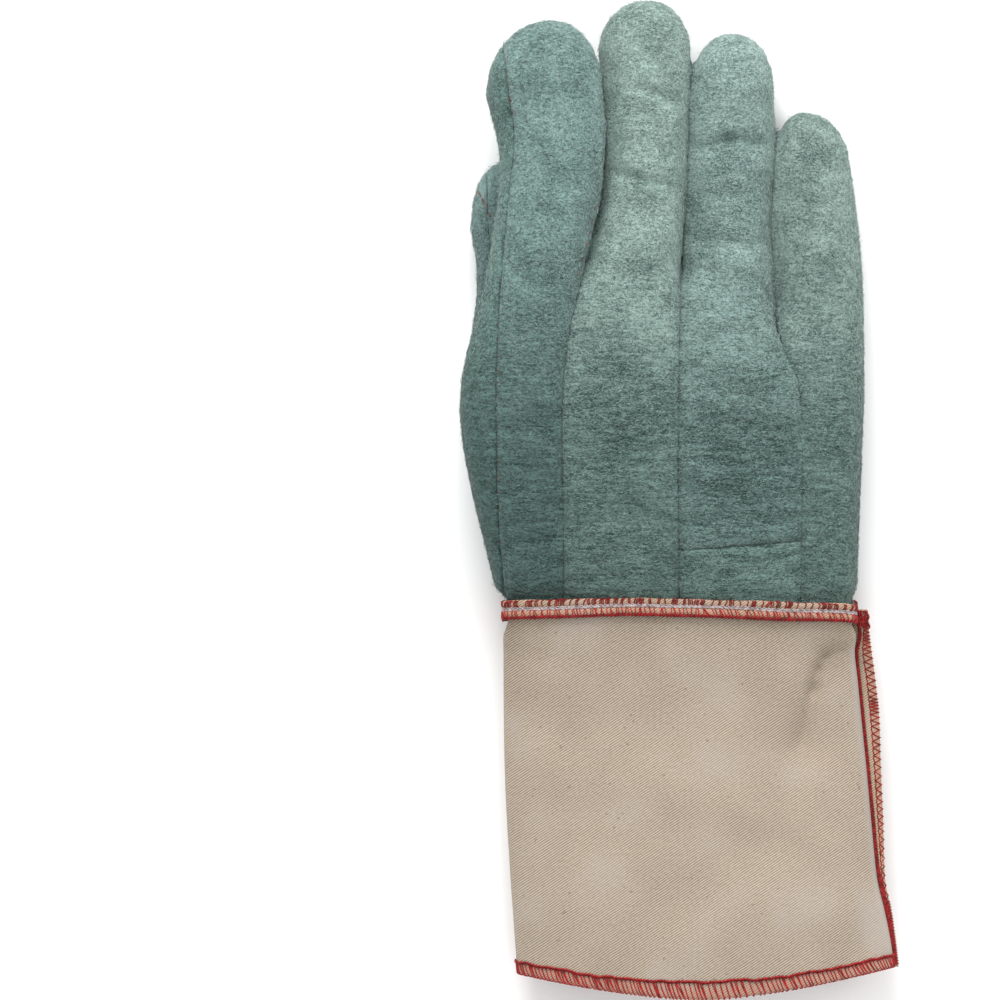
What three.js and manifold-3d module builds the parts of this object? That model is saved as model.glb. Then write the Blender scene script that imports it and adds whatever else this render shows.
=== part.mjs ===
// A gauntlet work glove for the right hand, lying on a table with its back up: a hand of thick
// napped cotton cut as a palm, back strips and a thumb, and a cuff of cotton drill sewn to it.
// Millimetres, +Z up. Fingers point to +Y, the thumb side is -X, and the glove rests on Z = 0.
// In the tables Y is measured from the wrist seam and X from the seam between middle and ring finger.
import * as THREE from "three";
import { mergeVertices } from "three/addons/utils/BufferGeometryUtils.js";
import Module from "manifold-3d";

const wasm = await Module();
wasm.setup();

// Driving dimensions
const FELT = 3.0; // wall of the napped hand, outer cloth and lining together
const DRILL = 1.6; // wall of the cuff
const GAP = 0.3; // clearance between two sewn pieces
const FINGER_GAP = 0.8; // clearance between two fingers that lie side by side
const SEAM_LAP = 0.6; // how far neighbouring strips reach into each other before they are cut apart
const CAVITY_LAP = 2; // how far the hollows of neighbouring strips reach into each other
const LITTLE_WRAP = 6; // how far the little finger's strip wraps round to the palm side
const PIECING_SEAM = 21.5; // height of the seam across the ring finger's strip
const WRIST_BAND = { from: -3.8, to: 3.2, thick: 1.7 }; // the exposed seam allowance at the wrist
const CUFF_HEM = -117.8; // where the cuff ends on the little finger's side
const HEM_TILT = 2.3; // how much lower the hem is on the thumb's side
const HEM_BOW = 9.6; // how much further the hem reaches at its middle
const SIDE_SEAM = { top: 0.2, thick: 2.6 }; // the cuff's side seam allowance, two plies
const ROUND_POINTS = 18; // points round a finger
const HOLLOW_POINTS = 12; // points round the hollow of a finger
const CUFF_POINTS = 36; // points round the cuff
const TIP_SQUARE = 2.08; // how full the finger tips are, 2 being an ellipse
const FINGER_SQUARE = 2.3; // how full a finger's cross-section is
const SEAM_SQUARE_OVER = 12; // how much fuller it is beside a seam of the back, where it meets its neighbour
const SEAM_SQUARE_UNDER = 22; // the same on the palm, which has no seam there
const CROTCH_EASE = 12; // how far from a crotch the fingers start to round off
const HAND_EASE = 9; // how far from a crotch a finger's height parts from the hand's
const PARTING_EASE = 3; // how far from a crotch the gap between two fingers opens
const FOLD_FADE = 0.6; // height up the cuff's section where its folds reach their full depth
const PAST = 6; // how far a cutting solid runs past the end of what it cuts
const FAR = 260; // past every surface

// Levels of the hand's sections, close together where the fingers bend and part
const HAND_LEVELS = [
  0, 3.6, 8, 22, 38, 54, 66, 76, 85, 94, 103, 113, 124, 132, 140, 147, 153, 160, 168, 176, 185,
];
const HOLLOW_LEVELS = [-12, 3.6, 8, 38, 66, 85, 103, 124, 140, 153, 168, 185];
const TIP_LEVELS = [0, 0.36, 0.64, 0.84, 0.95, 0.999]; // shares of a round end, from its start to its tip

// Outline of the hand from above, a row for each level
const OUTLINE = table("y thumbEdge indexMiddle middleRing ringLittle littleEdge", [
  [-14, -56.2, -38.0, 0.2, 40.2, 56.8],
  [0, -56.2, -38.0, 0.2, 40.2, 56.8],
  [3.6, -56.4, -38.0, 0.2, 40.2, 57.0],
  [8, -60.4, -38.0, 0.1, 40.3, 58.8],
  [20, -63.3, -38.0, 0.0, 40.4, 59.1],
  [40, -68.2, -38.3, -0.3, 40.6, 59.9],
  [60, -71.8, -38.6, -0.3, 40.7, 60.7],
  [75, -71.6, -38.2, -0.1, 39.6, 61.2],
  [83, -70.2, -37.4, 0.0, 35.4, 61.1],
  [95, -66.6, -35.6, 0.2, 32.3, 61.0],
  [106, -64.2, -33.2, 0.4, 31.6, 60.7],
  [120, -61.7, -30.0, 0.8, 30.4, 60.0],
  [132, -59.8, -26.6, 1.6, 30.2, 58.6],
  [145, -59.0, -25.0, 2.2, 31.2, 56.8],
  [153, -59.3, -24.4, 2.4, 31.6, 55.4],
  [161, -61.2, -24.3, 2.8, 31.8, 55.0],
  [174, -64.1, -25.4, 3.6, 31.8, 55.0],
  [190, -63.2, -26.8, 4.0, 31.8, 55.0],
]);

// Underside and top of each strip at its middle, a row for each level
const HEIGHTS = table(
  "y indexUnder indexOver middleUnder middleOver ringUnder ringOver littleUnder littleOver",
  [
    [-14, 3.5, 24, 3.5, 27, 3.5, 27, 3.5, 24],
    [0, 3.5, 24, 3.5, 27, 3.5, 27, 3.5, 24],
    [3.6, 3.5, 24.2, 3.5, 27.2, 3.5, 27.2, 3.5, 24.2],
    [8, 3.4, 27, 2.8, 30.4, 2, 29.6, 2, 25.4],
    [20, 5, 32, 2, 35, 0, 33, 0, 27],
    [40, 9, 38, 3, 39, -1, 35.5, -1, 28],
    [60, 14, 42, 5, 42, -1, 36.5, -1, 28.5],
    [75, 18, 44.5, 7, 43, -1, 36.5, -1, 28],
    [90, 21, 46, 8, 42, -1, 34, -1, 26.5],
    [106, 21.5, 46, 8, 39.5, -1, 31.5, -1, 25.5],
    [115, 21.5, 45.6, 7.8, 37.8, -1, 30.4, -1, 24.8],
    [124, 21.3, 44.6, 7.3, 36, -1, 28.0, -1, 24.2],
    [132, 21, 43.4, 6.7, 34.8, -1, 28.6, -1, 23.5],
    [140, 20, 42.2, 6.2, 32.4, -1, 27.8, -1, 22.6],
    [147, 19, 41.2, 5.8, 32.4, -1, 27.0, -1, 21.4],
    [153, 18, 40.2, 5.2, 31.6, -1, 24.8, -1, 20],
    [161, 16.2, 38.7, 4.6, 30.2, -1, 25.2, -1, 20],
    [168, 15, 37.2, 4, 28.2, -1, 24.4, -1, 20],
    [176, 13.6, 35.6, 3.3, 27.8, -1, 23.6, -1, 20],
    [190, 12, 33, 2.5, 26, -1, 23, -1, 20],
  ],
);

// Each finger's edges, the level where its round end starts, its tip, and the crotches beside it
const INDEX_CROTCH = 106;
const RING_CROTCH = 102;
const LITTLE_CROTCH = 92;
const FINGERS = [
  {
    name: "index",
    left: "thumbEdge",
    right: "indexMiddle",
    start: 170,
    tip: { x: -42.4, y: 194.6, z: 22 },
    crotchRight: INDEX_CROTCH,
  },
  {
    name: "middle",
    left: "indexMiddle",
    right: "middleRing",
    start: 185,
    tip: { x: -10.5, y: 201.3, z: 14 },
    crotchLeft: INDEX_CROTCH,
    crotchRight: RING_CROTCH,
  },
  {
    name: "ring",
    left: "middleRing",
    right: "ringLittle",
    start: 172,
    tip: { x: 18, y: 190.3, z: 11.5 },
    crotchLeft: RING_CROTCH,
    crotchRight: LITTLE_CROTCH,
  },
  {
    name: "little",
    left: "ringLittle",
    right: "littleEdge",
    start: 146,
    tip: { x: 42, y: 164.3, z: 10 },
    crotchLeft: LITTLE_CROTCH,
  },
];

// Seam between the index finger's back strip and the palm, which wraps round the thumb side
const INDEX_SEAM = table("y x", [
  [-14, -56.4],
  [3, -57.0],
  [30, -59.4],
  [60, -60.0],
  [80, -60.0],
  [110, -58.4],
  [135, -56.0],
  [156, -54.1],
  [173, -56.4],
  [200, -59.0],
]);

// The thumb lies folded under the index finger; a row for each level
const THUMB = table("y left right under over", [
  [20, -59.5, -23, 4, 24],
  [45, -67, -27, -1, 29],
  [60, -70.4, -30, -1, 28],
  [75, -70.6, -32, -1, 23],
  [83, -69.8, -33, -1, 20],
  [90, -68.4, -34.4, -1, 19],
  [106, -66.3, -36.8, -1, 19],
  [115, -66.6, -39.2, -1, 19],
  [124, -68.3, -41.6, -1, 18.8],
  [150, -69.4, -42.0, -1, 18.5],
]);
const THUMB_END = { start: 126, tip: { x: -56.5, y: 148.2, z: 9 } };
const THUMB_LEVELS = [20, 32, 45, 54, 66, 75, 83, 90, 98, 106, 115];
const THUMB_HOLLOW_LEVELS = [36, 54, 66, 75, 83, 98, 115];
const THUMB_SEAM = 6; // the thumb's seam lies this far in from its outer edge
const THUMB_SQUARE = 2.4; // how full the thumb's cross-section is

// The cuff, a row for each level
const CUFF = table("y left right under over square seamLeft seamRight", [
  [10, -56.4, 57.0, 3, 27.6, 8, 59.2, 62.4],
  [0, -56.4, 57.0, 3, 27.4, 8, 59.2, 62.4],
  [-4.2, -56.4, 57.0, 3, 27.4, 8, 59.2, 62.5],
  [-8, -57.8, 58.6, 1.4, 27, 6, 56, 63.0],
  [-14, -57.8, 58.3, 0, 27, 4, 55, 63.8],
  [-24, -57.8, 59.4, -1, 27, 3.4, 56, 65.2],
  [-36, -57.7, 60.6, -1, 27, 3, 57, 66.4],
  [-52, -57.4, 62.3, -1, 28, 2.7, 59, 66.9],
  [-68, -56.7, 63.8, -1, 29, 2.5, 60, 67.6],
  [-82, -55.8, 65.2, -1, 30, 2.4, 62, 68.0],
  [-90, -55.3, 66.2, -1, 30.5, 2.4, 63, 68.2],
  [-99, -54.6, 68.4, -1, 31, 2.4, 65, 70.2],
  [-109, -53.9, 70.4, -1, 31, 2.4, 67, 71.6],
  [-125, -52.8, 72.6, -1, 31, 2.4, 69, 72.8],
]);

// Soft folds pressed into the top of the cuff, from one end to the other
const CUFF_FOLDS = [
  { fromX: 50, fromY: -19, toX: 41, toY: -46, wide: 6.5, deep: 3.4 },
  { fromX: 41, fromY: -46, toX: 33, toY: -74, wide: 10, deep: 1.6 },
  { fromX: 70, fromY: -84, toX: 56, toY: -122, wide: 9, deep: 2.4 },
];

// Rows with named columns, read at any level of the first column
function table(header, rows) {
  const names = header.split(" ");
  const sorted = [...rows].sort((a, b) => a[0] - b[0]);
  return (level) => {
    const found = {};
    names.forEach((name, column) => {
      found[name] = column ? smoothThrough(sorted.map((row) => [row[0], row[column]]), level) : level;
    });
    return found;
  };
}

// A smooth curve through points sorted by their first number, which doesn't overshoot them much
function smoothThrough(points, at) {
  const last = points.length - 1;
  const t = Math.min(Math.max(at, points[0][0]), points[last][0]);
  let i = 0;
  while (i < last - 1 && t > points[i + 1][0]) i++;
  const slope = (k) => {
    const a = points[Math.max(k - 1, 0)];
    const b = points[Math.min(k + 1, last)];
    return (b[1] - a[1]) / (b[0] - a[0]);
  };
  const span = points[i + 1][0] - points[i][0];
  const s = (t - points[i][0]) / span;
  const rise = points[i + 1][1] - points[i][1];
  const start = slope(i) * span;
  const end = slope(i + 1) * span;
  const bend = start + end - 2 * rise;
  return points[i][1] + start * s + (3 * rise - 2 * start - end) * s * s + bend * s * s * s;
}

function mix(a, b, share) {
  return a + (b - a) * share;
}

// How much a level belongs to the hand, 1, or to a finger above its crotch, 0
function handShare(level, crotch, reach) {
  if (crotch === undefined) return 0;
  return 1 - THREE.MathUtils.smoothstep(level, crotch - reach, crotch + reach);
}

// A closed solid through equal loops of points, with flat ends
function loft(loops) {
  const round = loops[0].length;
  const corners = [];
  for (let i = 0; i + 1 < loops.length; i++) {
    for (let j = 0; j < round; j++) {
      const a = i * round + j;
      const b = i * round + ((j + 1) % round);
      corners.push(a, b, b + round, a, b + round, a + round);
    }
  }
  const last = (loops.length - 1) * round;
  for (const [a, b, c] of endTriangles(loops[0])) {
    corners.push(c, b, a);
  }
  for (const [a, b, c] of endTriangles(loops[loops.length - 1])) {
    corners.push(last + a, last + b, last + c);
  }
  const geometry = new THREE.BufferGeometry();
  geometry.setAttribute("position", new THREE.Float32BufferAttribute(loops.flat(2), 3));
  geometry.setIndex(corners);
  return solidOf(geometry);
}

function endTriangles(loop) {
  return THREE.ShapeUtils.triangulateShape(
    loop.map(([x, , z]) => new THREE.Vector2(x, z)),
    [],
  );
}

// A closed mesh as a solid that faces out, whichever way its triangles ran
function solidOf(geometry) {
  const merged = mergeVertices(geometry, 1e-4);
  const triVerts = new Uint32Array(merged.index.array);
  const vertProperties = merged.attributes.position.array;
  const made = new wasm.Manifold(new wasm.Mesh({ numProp: 3, vertProperties, triVerts }));
  if (made.volume() > 0) return made;
  const turned = new Uint32Array(triVerts).reverse();
  return new wasm.Manifold(new wasm.Mesh({ numProp: 3, vertProperties, triVerts: turned }));
}

function joined(solids) {
  return solids.reduce((all, one) => all.add(one));
}

// Height across the hand: the strips' own heights at their middles, with a smooth curve between
function acrossHand(level, x, side) {
  const heights = HEIGHTS(level);
  const outline = OUTLINE(level);
  const middles = FINGERS.map((f) => [(outline[f.left] + outline[f.right]) / 2, heights[f.name + side]]);
  return smoothThrough(middles, x);
}

// Sideways growth of a strip at one of its edges: beside a finger gap, or into its neighbour in the hand
function sideGrowth(level, crotch, grow) {
  if (crotch === undefined) return grow;
  const hollow = grow < -GAP;
  const lap = hollow ? CAVITY_LAP : SEAM_LAP;
  return mix(grow - FINGER_GAP / 2, lap, handShare(hollow ? level + FELT : level, crotch, PARTING_EASE));
}

// Cross-section of one finger and the strip of hand below it, grown outwards or, for the hollow, inwards
function stripSection(finger, level, grow, points) {
  const base = Math.min(level, finger.start);
  const outline = OUTLINE(base);
  const heights = HEIGHTS(base);
  const ofHand = (crotch) => handShare(level, crotch, HAND_EASE);
  const hand = Math.max(ofHand(finger.crotchLeft), ofHand(finger.crotchRight));
  const left = outline[finger.left] - sideGrowth(level, finger.crotchLeft, grow);
  const right = outline[finger.right] + sideGrowth(level, finger.crotchRight, grow);
  const end = roundEnd(level, finger, grow);
  const middleX = mix((left + right) / 2, finger.tip.x, end.drawn);
  const half = ((right - left) / 2) * end.shrink;
  return Array.from({ length: points }, (_, i) => {
    const turn = (2 * Math.PI * i) / points;
    const upper = Math.sin(turn) >= 0;
    const crotch = Math.cos(turn) < 0 ? finger.crotchLeft : finger.crotchRight;
    const flush = handShare(level, crotch, CROTCH_EASE);
    const across = mix(Math.cos(turn), Math.sin((Math.PI / 2) * Math.cos(turn)), flush);
    const square = FINGER_SQUARE + flush * (upper ? SEAM_SQUARE_OVER : SEAM_SQUARE_UNDER);
    const x = middleX + half * across;
    const under = mix(heights[finger.name + "Under"], acrossHand(base, x, "Under"), hand) - grow;
    const over = mix(heights[finger.name + "Over"], acrossHand(base, x, "Over"), hand) + grow;
    const middleZ = mix((under + over) / 2, finger.tip.z, end.drawn);
    const halfZ = ((over - under) / 2) * end.shrink * superellipse(across, square);
    return [x, level, Math.max(middleZ + (upper ? halfZ : -halfZ), -grow)];
  });
}

// How far a superellipse of half width and half height 1 rises at a place across it
function superellipse(across, square) {
  return Math.pow(Math.max(0, 1 - Math.pow(Math.abs(across), square)), 1 / square);
}

// How wide a round end still is at a level, and how far its middle is drawn to the tip
function roundEnd(level, digit, grow) {
  const share = Math.max(0, (level - digit.start) / (digit.tip.y + grow - digit.start));
  return { shrink: superellipse(share, TIP_SQUARE), drawn: share * share };
}

// The given levels up to where a round end starts, then those of the end
function levelsOf(levels, digit, grow) {
  const end = TIP_LEVELS.map((share) => mix(digit.start, digit.tip.y + grow, share));
  return [...levels.filter((y) => y < digit.start - 2), ...end];
}

function fingerSolid(finger, levels, grow) {
  const points = grow < -GAP ? HOLLOW_POINTS : ROUND_POINTS;
  return loft(levelsOf(levels, finger, grow).map((y) => stripSection(finger, y, grow, points)));
}

function thumbSection(level, grow) {
  const row = THUMB(Math.min(level, THUMB_END.start));
  const end = roundEnd(level, THUMB_END, grow);
  const middleX = mix((row.left + row.right) / 2, THUMB_END.tip.x, end.drawn);
  const middleZ = mix((row.under + row.over) / 2, THUMB_END.tip.z, end.drawn);
  const halfX = ((row.right - row.left) / 2 + grow) * end.shrink;
  const halfZ = ((row.over - row.under) / 2 + grow) * end.shrink;
  return roundLoop(ROUND_POINTS, THUMB_SQUARE, (across, up) => [
    middleX + halfX * across,
    level,
    Math.max(middleZ + halfZ * up, -grow),
  ]);
}

// Points round a superellipse, each placed by a function of its share across and up
function roundLoop(points, square, place) {
  return Array.from({ length: points }, (_, i) => {
    const turn = (2 * Math.PI * i) / points;
    const across = Math.cos(turn);
    return place(across, superellipse(across, square) * Math.sign(Math.sin(turn)));
  });
}

function thumbSolid(levels, grow) {
  return loft(levelsOf(levels, THUMB_END, grow).map((y) => thumbSection(y, grow)));
}

// How deep the cuff's folds are at a point of its top
function foldDepth(x, y) {
  let deepest = 0;
  for (const fold of CUFF_FOLDS) {
    const run = new THREE.Vector2(fold.toX - fold.fromX, fold.toY - fold.fromY);
    const reach = new THREE.Vector2(x - fold.fromX, y - fold.fromY);
    const along = THREE.MathUtils.clamp(reach.dot(run) / run.lengthSq(), 0, 1);
    const away = reach.sub(run.multiplyScalar(along)).length() / fold.wide;
    deepest = Math.max(deepest, fold.deep * Math.exp(-away * away));
  }
  return deepest;
}

// Cross-section of the cuff, its levels drawn down towards the bowed hem
function cuffSection(level, grow) {
  const row = CUFF(level);
  const drawn = Math.max(0, level / CUFF_HEM);
  return roundLoop(CUFF_POINTS, row.square, (across, up) => {
    const x = mix(row.left - grow, row.right + grow, (across + 1) / 2);
    const y = level - drawn * (HEM_BOW * (1 - across * across) + (HEM_TILT * (1 - across)) / 2);
    const dent = foldDepth(x, y) * THREE.MathUtils.smoothstep(up, 0, FOLD_FADE);
    const z = mix(row.under - grow, row.over + grow, (up + 1) / 2) - dent;
    return [x, y, Math.max(z, -grow)];
  });
}

// A tall box between two seam lines, above the surface that parts the back from the palm
function regionAbove(leftOf, rightOf, floorOf, levels) {
  return loft(
    levels.map((y) => {
      const left = leftOf(y);
      const right = rightOf(y);
      return [
        [left, y, floorOf(y, left)],
        [right, y, floorOf(y, right)],
        [right, y, FAR],
        [left, y, FAR],
      ];
    }),
  );
}

// Levels of the regions that part the strips, past both ends of the hand
const SPLIT_LEVELS = [-20, ...HAND_LEVELS, 210];

// The space of a finger's back strip, grown by the clearance where the palm is cut by it
function backRegion(finger, grow) {
  const parting = (y) => {
    const heights = HEIGHTS(y);
    return (heights[finger.name + "Under"] + heights[finger.name + "Over"]) / 2 - grow;
  };
  const left = (y) => (finger.name === "index" ? INDEX_SEAM(y).x : OUTLINE(y)[finger.left]) + GAP / 2 - grow;
  const right = (y) => (finger.name === "little" ? FAR : OUTLINE(y)[finger.right] - GAP / 2 + grow);
  const above = regionAbove(left, right, parting, SPLIT_LEVELS);
  if (finger.name !== "little") return above;
  const wrap = (y) => OUTLINE(y).littleEdge - LITTLE_WRAP - grow;
  return above.add(regionAbove(wrap, () => FAR, () => -FAR, SPLIT_LEVELS));
}

// A slab between two levels, for cutting pieces to length
function slab(from, to) {
  return bareSolid(new THREE.BoxGeometry(2 * FAR, to - from, 2 * FAR).translate(0, (from + to) / 2, 0));
}

// The space above the table
function aboveFloor() {
  return bareSolid(new THREE.BoxGeometry(2 * FAR, 2 * FAR, FAR).translate(0, 0, FAR / 2));
}

function bareSolid(geometry) {
  geometry.deleteAttribute("normal");
  geometry.deleteAttribute("uv");
  return solidOf(geometry);
}

// The outside of the hand and fingers, grown by a clearance
function handSolid(grow) {
  return joined(FINGERS.map((f) => fingerSolid(f, [-12, ...HAND_LEVELS], grow)));
}

function handPieces() {
  const outer = handSolid(0).intersect(slab(GAP / 2, FAR));
  const hollow = joined(FINGERS.map((f) => fingerSolid(f, HOLLOW_LEVELS, -FELT)));
  const grown = handSolid(GAP);
  const thumbOuter = thumbSolid(THUMB_LEVELS, 0);
  const thumbHollow = thumbSolid(THUMB_HOLLOW_LEVELS, -FELT);
  const shell = outer.subtract(hollow);
  const pieces = {};
  let palm = shell.subtract(thumbHollow);
  for (const finger of FINGERS) {
    pieces[finger.name + "_back"] = shell.intersect(backRegion(finger, 0));
    palm = palm.subtract(backRegion(finger, GAP));
  }
  pieces.palm = palm;
  const ring = pieces.ring_back;
  pieces.ring_back = ring.intersect(slab(PIECING_SEAM + GAP / 2, FAR));
  pieces.ring_back_lower = ring.intersect(slab(-FAR, PIECING_SEAM - GAP / 2));
  const thumb = thumbOuter.subtract(thumbHollow).subtract(grown);
  const edge = (grow) => (y) => THUMB(y).left + THUMB_SEAM - grow;
  const parting = (grow) => (y) => (THUMB(y).under + THUMB(y).over) / 2 - grow;
  const upper = (grow) => regionAbove(edge(grow), () => FAR, parting(grow), SPLIT_LEVELS);
  pieces.thumb_back = thumb.intersect(upper(0));
  pieces.thumb_front = thumb.subtract(upper(GAP));
  return pieces;
}

// Levels of the cuff's sections, from the wrist seam to the hem, and of its hollow, past both ends
const CUFF_LEVELS = [GAP / -2, -4.2, -8, -14, -24, -36, -50, -66, -82, -91, -100, -109, CUFF_HEM];
const CUFF_HOLLOW_LEVELS = [PAST, -4.2, -14, -36, -58, -82, -99, CUFF_HEM - PAST];

function cuffSolid(levels, grow) {
  return loft(levels.map((y) => cuffSection(y, grow)));
}

function cuffPieces() {
  const cuff = cuffSolid(CUFF_LEVELS, 0).subtract(cuffSolid(CUFF_HOLLOW_LEVELS, -DRILL));
  const { from, to, thick } = WRIST_BAND;
  const within = cuffSolid([to + PAST, CUFF_LEVELS[1], from - PAST], GAP);
  const band = cuffSolid([to, from], GAP + thick).subtract(within);
  const nearCuff = cuffSolid([PAST, ...CUFF_LEVELS.slice(1), CUFF_HEM - PAST], GAP);
  const nearBand = cuffSolid([PAST, from], 2 * GAP + thick);
  const seam = sideSeam().subtract(nearCuff).subtract(nearBand);
  return { cuff, wrist_band: band.intersect(aboveFloor()), cuff_side_seam: seam };
}

// The allowance that stands out along the cuff on the little finger's side
function sideSeam() {
  return loft(
    [SIDE_SEAM.top, ...CUFF_LEVELS.slice(1)].map((y) => {
      const row = CUFF(y);
      const middle = (Math.max(row.under, 0) + row.over) / 2;
      const half = SIDE_SEAM.thick / 2;
      return [
        [row.seamLeft, y, middle - half],
        [row.seamRight, y, middle - half],
        [row.seamRight, y, middle + half],
        [row.seamLeft, y, middle + half],
      ];
    }),
  );
}

const LOOKS = {
  felt: new THREE.MeshStandardMaterial({ color: 0x6f918b, roughness: 0.95, metalness: 0 }),
  drill: new THREE.MeshStandardMaterial({ color: 0xcdbfae, roughness: 0.9, metalness: 0 }),
  overlocked: new THREE.MeshStandardMaterial({ color: 0xc98a78, roughness: 0.85, metalness: 0 }),
};

function meshOf(name, solid, look) {
  const { numProp, numVert, vertProperties, triVerts } = solid.getMesh();
  const places = new Float32Array(numVert * 3);
  for (let i = 0; i < numVert; i++) {
    places.set(vertProperties.subarray(i * numProp, i * numProp + 3), i * 3);
  }
  const geometry = new THREE.BufferGeometry();
  geometry.setAttribute("position", new THREE.BufferAttribute(places, 3));
  geometry.setIndex(new THREE.BufferAttribute(triVerts, 1));
  const mesh = new THREE.Mesh(geometry, look);
  mesh.name = name;
  return mesh;
}

function glove() {
  const group = new THREE.Group();
  for (const [name, solid] of Object.entries(handPieces())) {
    group.add(meshOf(name, solid, LOOKS.felt));
  }
  for (const [name, solid] of Object.entries(cuffPieces())) {
    group.add(meshOf(name, solid, name === "cuff" ? LOOKS.drill : LOOKS.overlocked));
  }
  const box = new THREE.Box3().setFromObject(group);
  const middle = box.getCenter(new THREE.Vector3());
  group.position.set(-middle.x, -middle.y, -box.min.z);
  return group;
}

export default glove();
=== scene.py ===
"""A cotton work glove with a gauntlet cuff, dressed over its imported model.

Tables and sizes are in millimetres. In them Y is measured from the wrist seam and X from the seam
between the middle and ring finger, as on the maker's pattern; Place turns them into the row's metres.
"""

import logging
import math
from collections.abc import Sequence
from dataclasses import dataclass, field
from enum import Enum

import bmesh
import bpy
import numpy as np
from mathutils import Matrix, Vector
from mathutils.bvhtree import BVHTree
from mathutils.kdtree import KDTree


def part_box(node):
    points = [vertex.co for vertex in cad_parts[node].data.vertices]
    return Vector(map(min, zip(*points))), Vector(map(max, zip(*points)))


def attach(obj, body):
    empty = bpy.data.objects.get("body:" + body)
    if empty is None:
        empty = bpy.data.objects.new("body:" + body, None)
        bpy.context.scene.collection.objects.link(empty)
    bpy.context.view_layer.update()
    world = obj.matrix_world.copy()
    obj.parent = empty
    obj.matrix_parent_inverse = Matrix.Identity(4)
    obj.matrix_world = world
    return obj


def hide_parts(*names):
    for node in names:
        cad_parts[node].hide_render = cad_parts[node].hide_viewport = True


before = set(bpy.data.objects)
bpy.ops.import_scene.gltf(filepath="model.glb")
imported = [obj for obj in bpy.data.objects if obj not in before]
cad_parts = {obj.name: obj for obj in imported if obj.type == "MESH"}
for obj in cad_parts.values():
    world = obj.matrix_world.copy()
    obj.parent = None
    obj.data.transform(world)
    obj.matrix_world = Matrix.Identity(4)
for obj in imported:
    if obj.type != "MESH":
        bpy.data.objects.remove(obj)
log = logging.getLogger("glove")

MM = 0.001
BODY = "root"
SEAM_GAP = 0.3  # clearance between two sewn pieces
MIDLINE_X = -0.132  # the row's X of the tables' X 0
LINT = "lint"  # a mesh's attribute: how much red lint its cloth carries
ROLL_LIGHT_AND_WEAR = "roll_light_and_wear"  # a mesh's attribute: how far its cloth is painted paler and greyer, as painted light along the roll by the side seam and as rubbed wear mixed with painted light about the lower right corner
WEAVE_X = 8.0  # the pattern's X that the cuff's weave is measured from
FOLD_SLOPE = 1.5  # how steep a step of the sleeve has to be to count as more than a fold's side
Colour = tuple[float, float, float]
Triple = tuple[float, float, float]
Span = tuple[float, float]
Line = Sequence[tuple[float, float]]
Settings = dict[str, object]
Inputs = dict[str | int, object]


class Slot(Enum):
    """Names of material slots."""

    NAP = "napped_cotton"
    DRILL = "cotton_drill"
    OVERLOCKED = "overlocked_drill"


class Side(Enum):
    """The side of the glove that a row of stitches is on, as the sign of its outward Z."""

    BACK = 1.0
    PALM = -1.0


def srgb(red: int, green: int, blue: int) -> Colour:
    """Turns a colour as a screen shows it, 0 to 255, into linear light."""
    shares = [value / 255 for value in (red, green, blue)]
    linear = [((share + 0.055) / 1.055) ** 2.4 if share > 0.04045 else share / 12.92 for share in shares]
    return (linear[0], linear[1], linear[2])


@dataclass(frozen=True)
class Place:
    """Turns the pattern's millimetres into the row's metres."""

    wrist_y: float
    midline_x: float = MIDLINE_X * MM

    @classmethod
    def from_frame(cls) -> "Place":
        """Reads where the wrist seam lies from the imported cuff."""
        return cls(wrist_y=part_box("cuff")[1].y + SEAM_GAP / 2 * MM)

    def metres(self, points: np.ndarray) -> np.ndarray:
        """Moves an array of points.

        Args:
            points: places in the pattern's millimetres, a row each.

        Returns:
            The same places in the row's metres.
        """
        return np.asarray(points, float) * MM + np.array([self.midline_x, self.wrist_y, 0.0])

    def pattern(self, points: np.ndarray) -> np.ndarray:
        """Moves an array of points from the row's metres back into the pattern's millimetres."""
        return (np.asarray(points, float) - np.array([self.midline_x, self.wrist_y, 0.0])) / MM


PLACE = Place.from_frame()


def smooth_through(knots: np.ndarray, values: np.ndarray, at: np.ndarray) -> np.ndarray:
    """Reads a smooth curve through points.

    Args:
        knots: the points' places along the curve, rising.
        values: the points' heights.
        at: where the curve is read.

    Returns:
        The curve's height at each place.
    """
    slopes = np.empty(len(knots))
    slopes[1:-1] = (values[2:] - values[:-2]) / (knots[2:] - knots[:-2])
    slopes[0] = (values[1] - values[0]) / (knots[1] - knots[0])
    slopes[-1] = (values[-1] - values[-2]) / (knots[-1] - knots[-2])
    t = np.clip(at, knots[0], knots[-1])
    i = np.clip(np.searchsorted(knots, t, side="left") - 1, 0, len(knots) - 2)
    span = knots[i + 1] - knots[i]
    s = (t - knots[i]) / span
    rise = values[i + 1] - values[i]
    start = slopes[i] * span
    end = slopes[i + 1] * span
    bend = start + end - 2 * rise
    return values[i] + start * s + (3 * rise - 2 * start - end) * s**2 + bend * s**3


def smoothstep(value: np.ndarray | float, low: float, high: float) -> np.ndarray:
    """Rises smoothly from 0 at low to 1 at high."""
    t = np.clip((value - low) / (high - low), 0, 1)
    return t * t * (3 - 2 * t)


@dataclass(frozen=True)
class Table:
    """Rows with named columns, read at any level of the first column."""

    header: str
    rows: Sequence[Sequence[float]]

    def column(self, name: str, level: np.ndarray) -> np.ndarray:
        """Reads one column.

        Args:
            name: the column's name in the header.
            level: the levels to read it at.

        Returns:
            The column's value at each level.
        """
        ordered = np.array(sorted(self.rows), float)
        values = ordered[:, self.header.split().index(name)]
        return smooth_through(ordered[:, 0], values, np.asarray(level, float))


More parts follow.
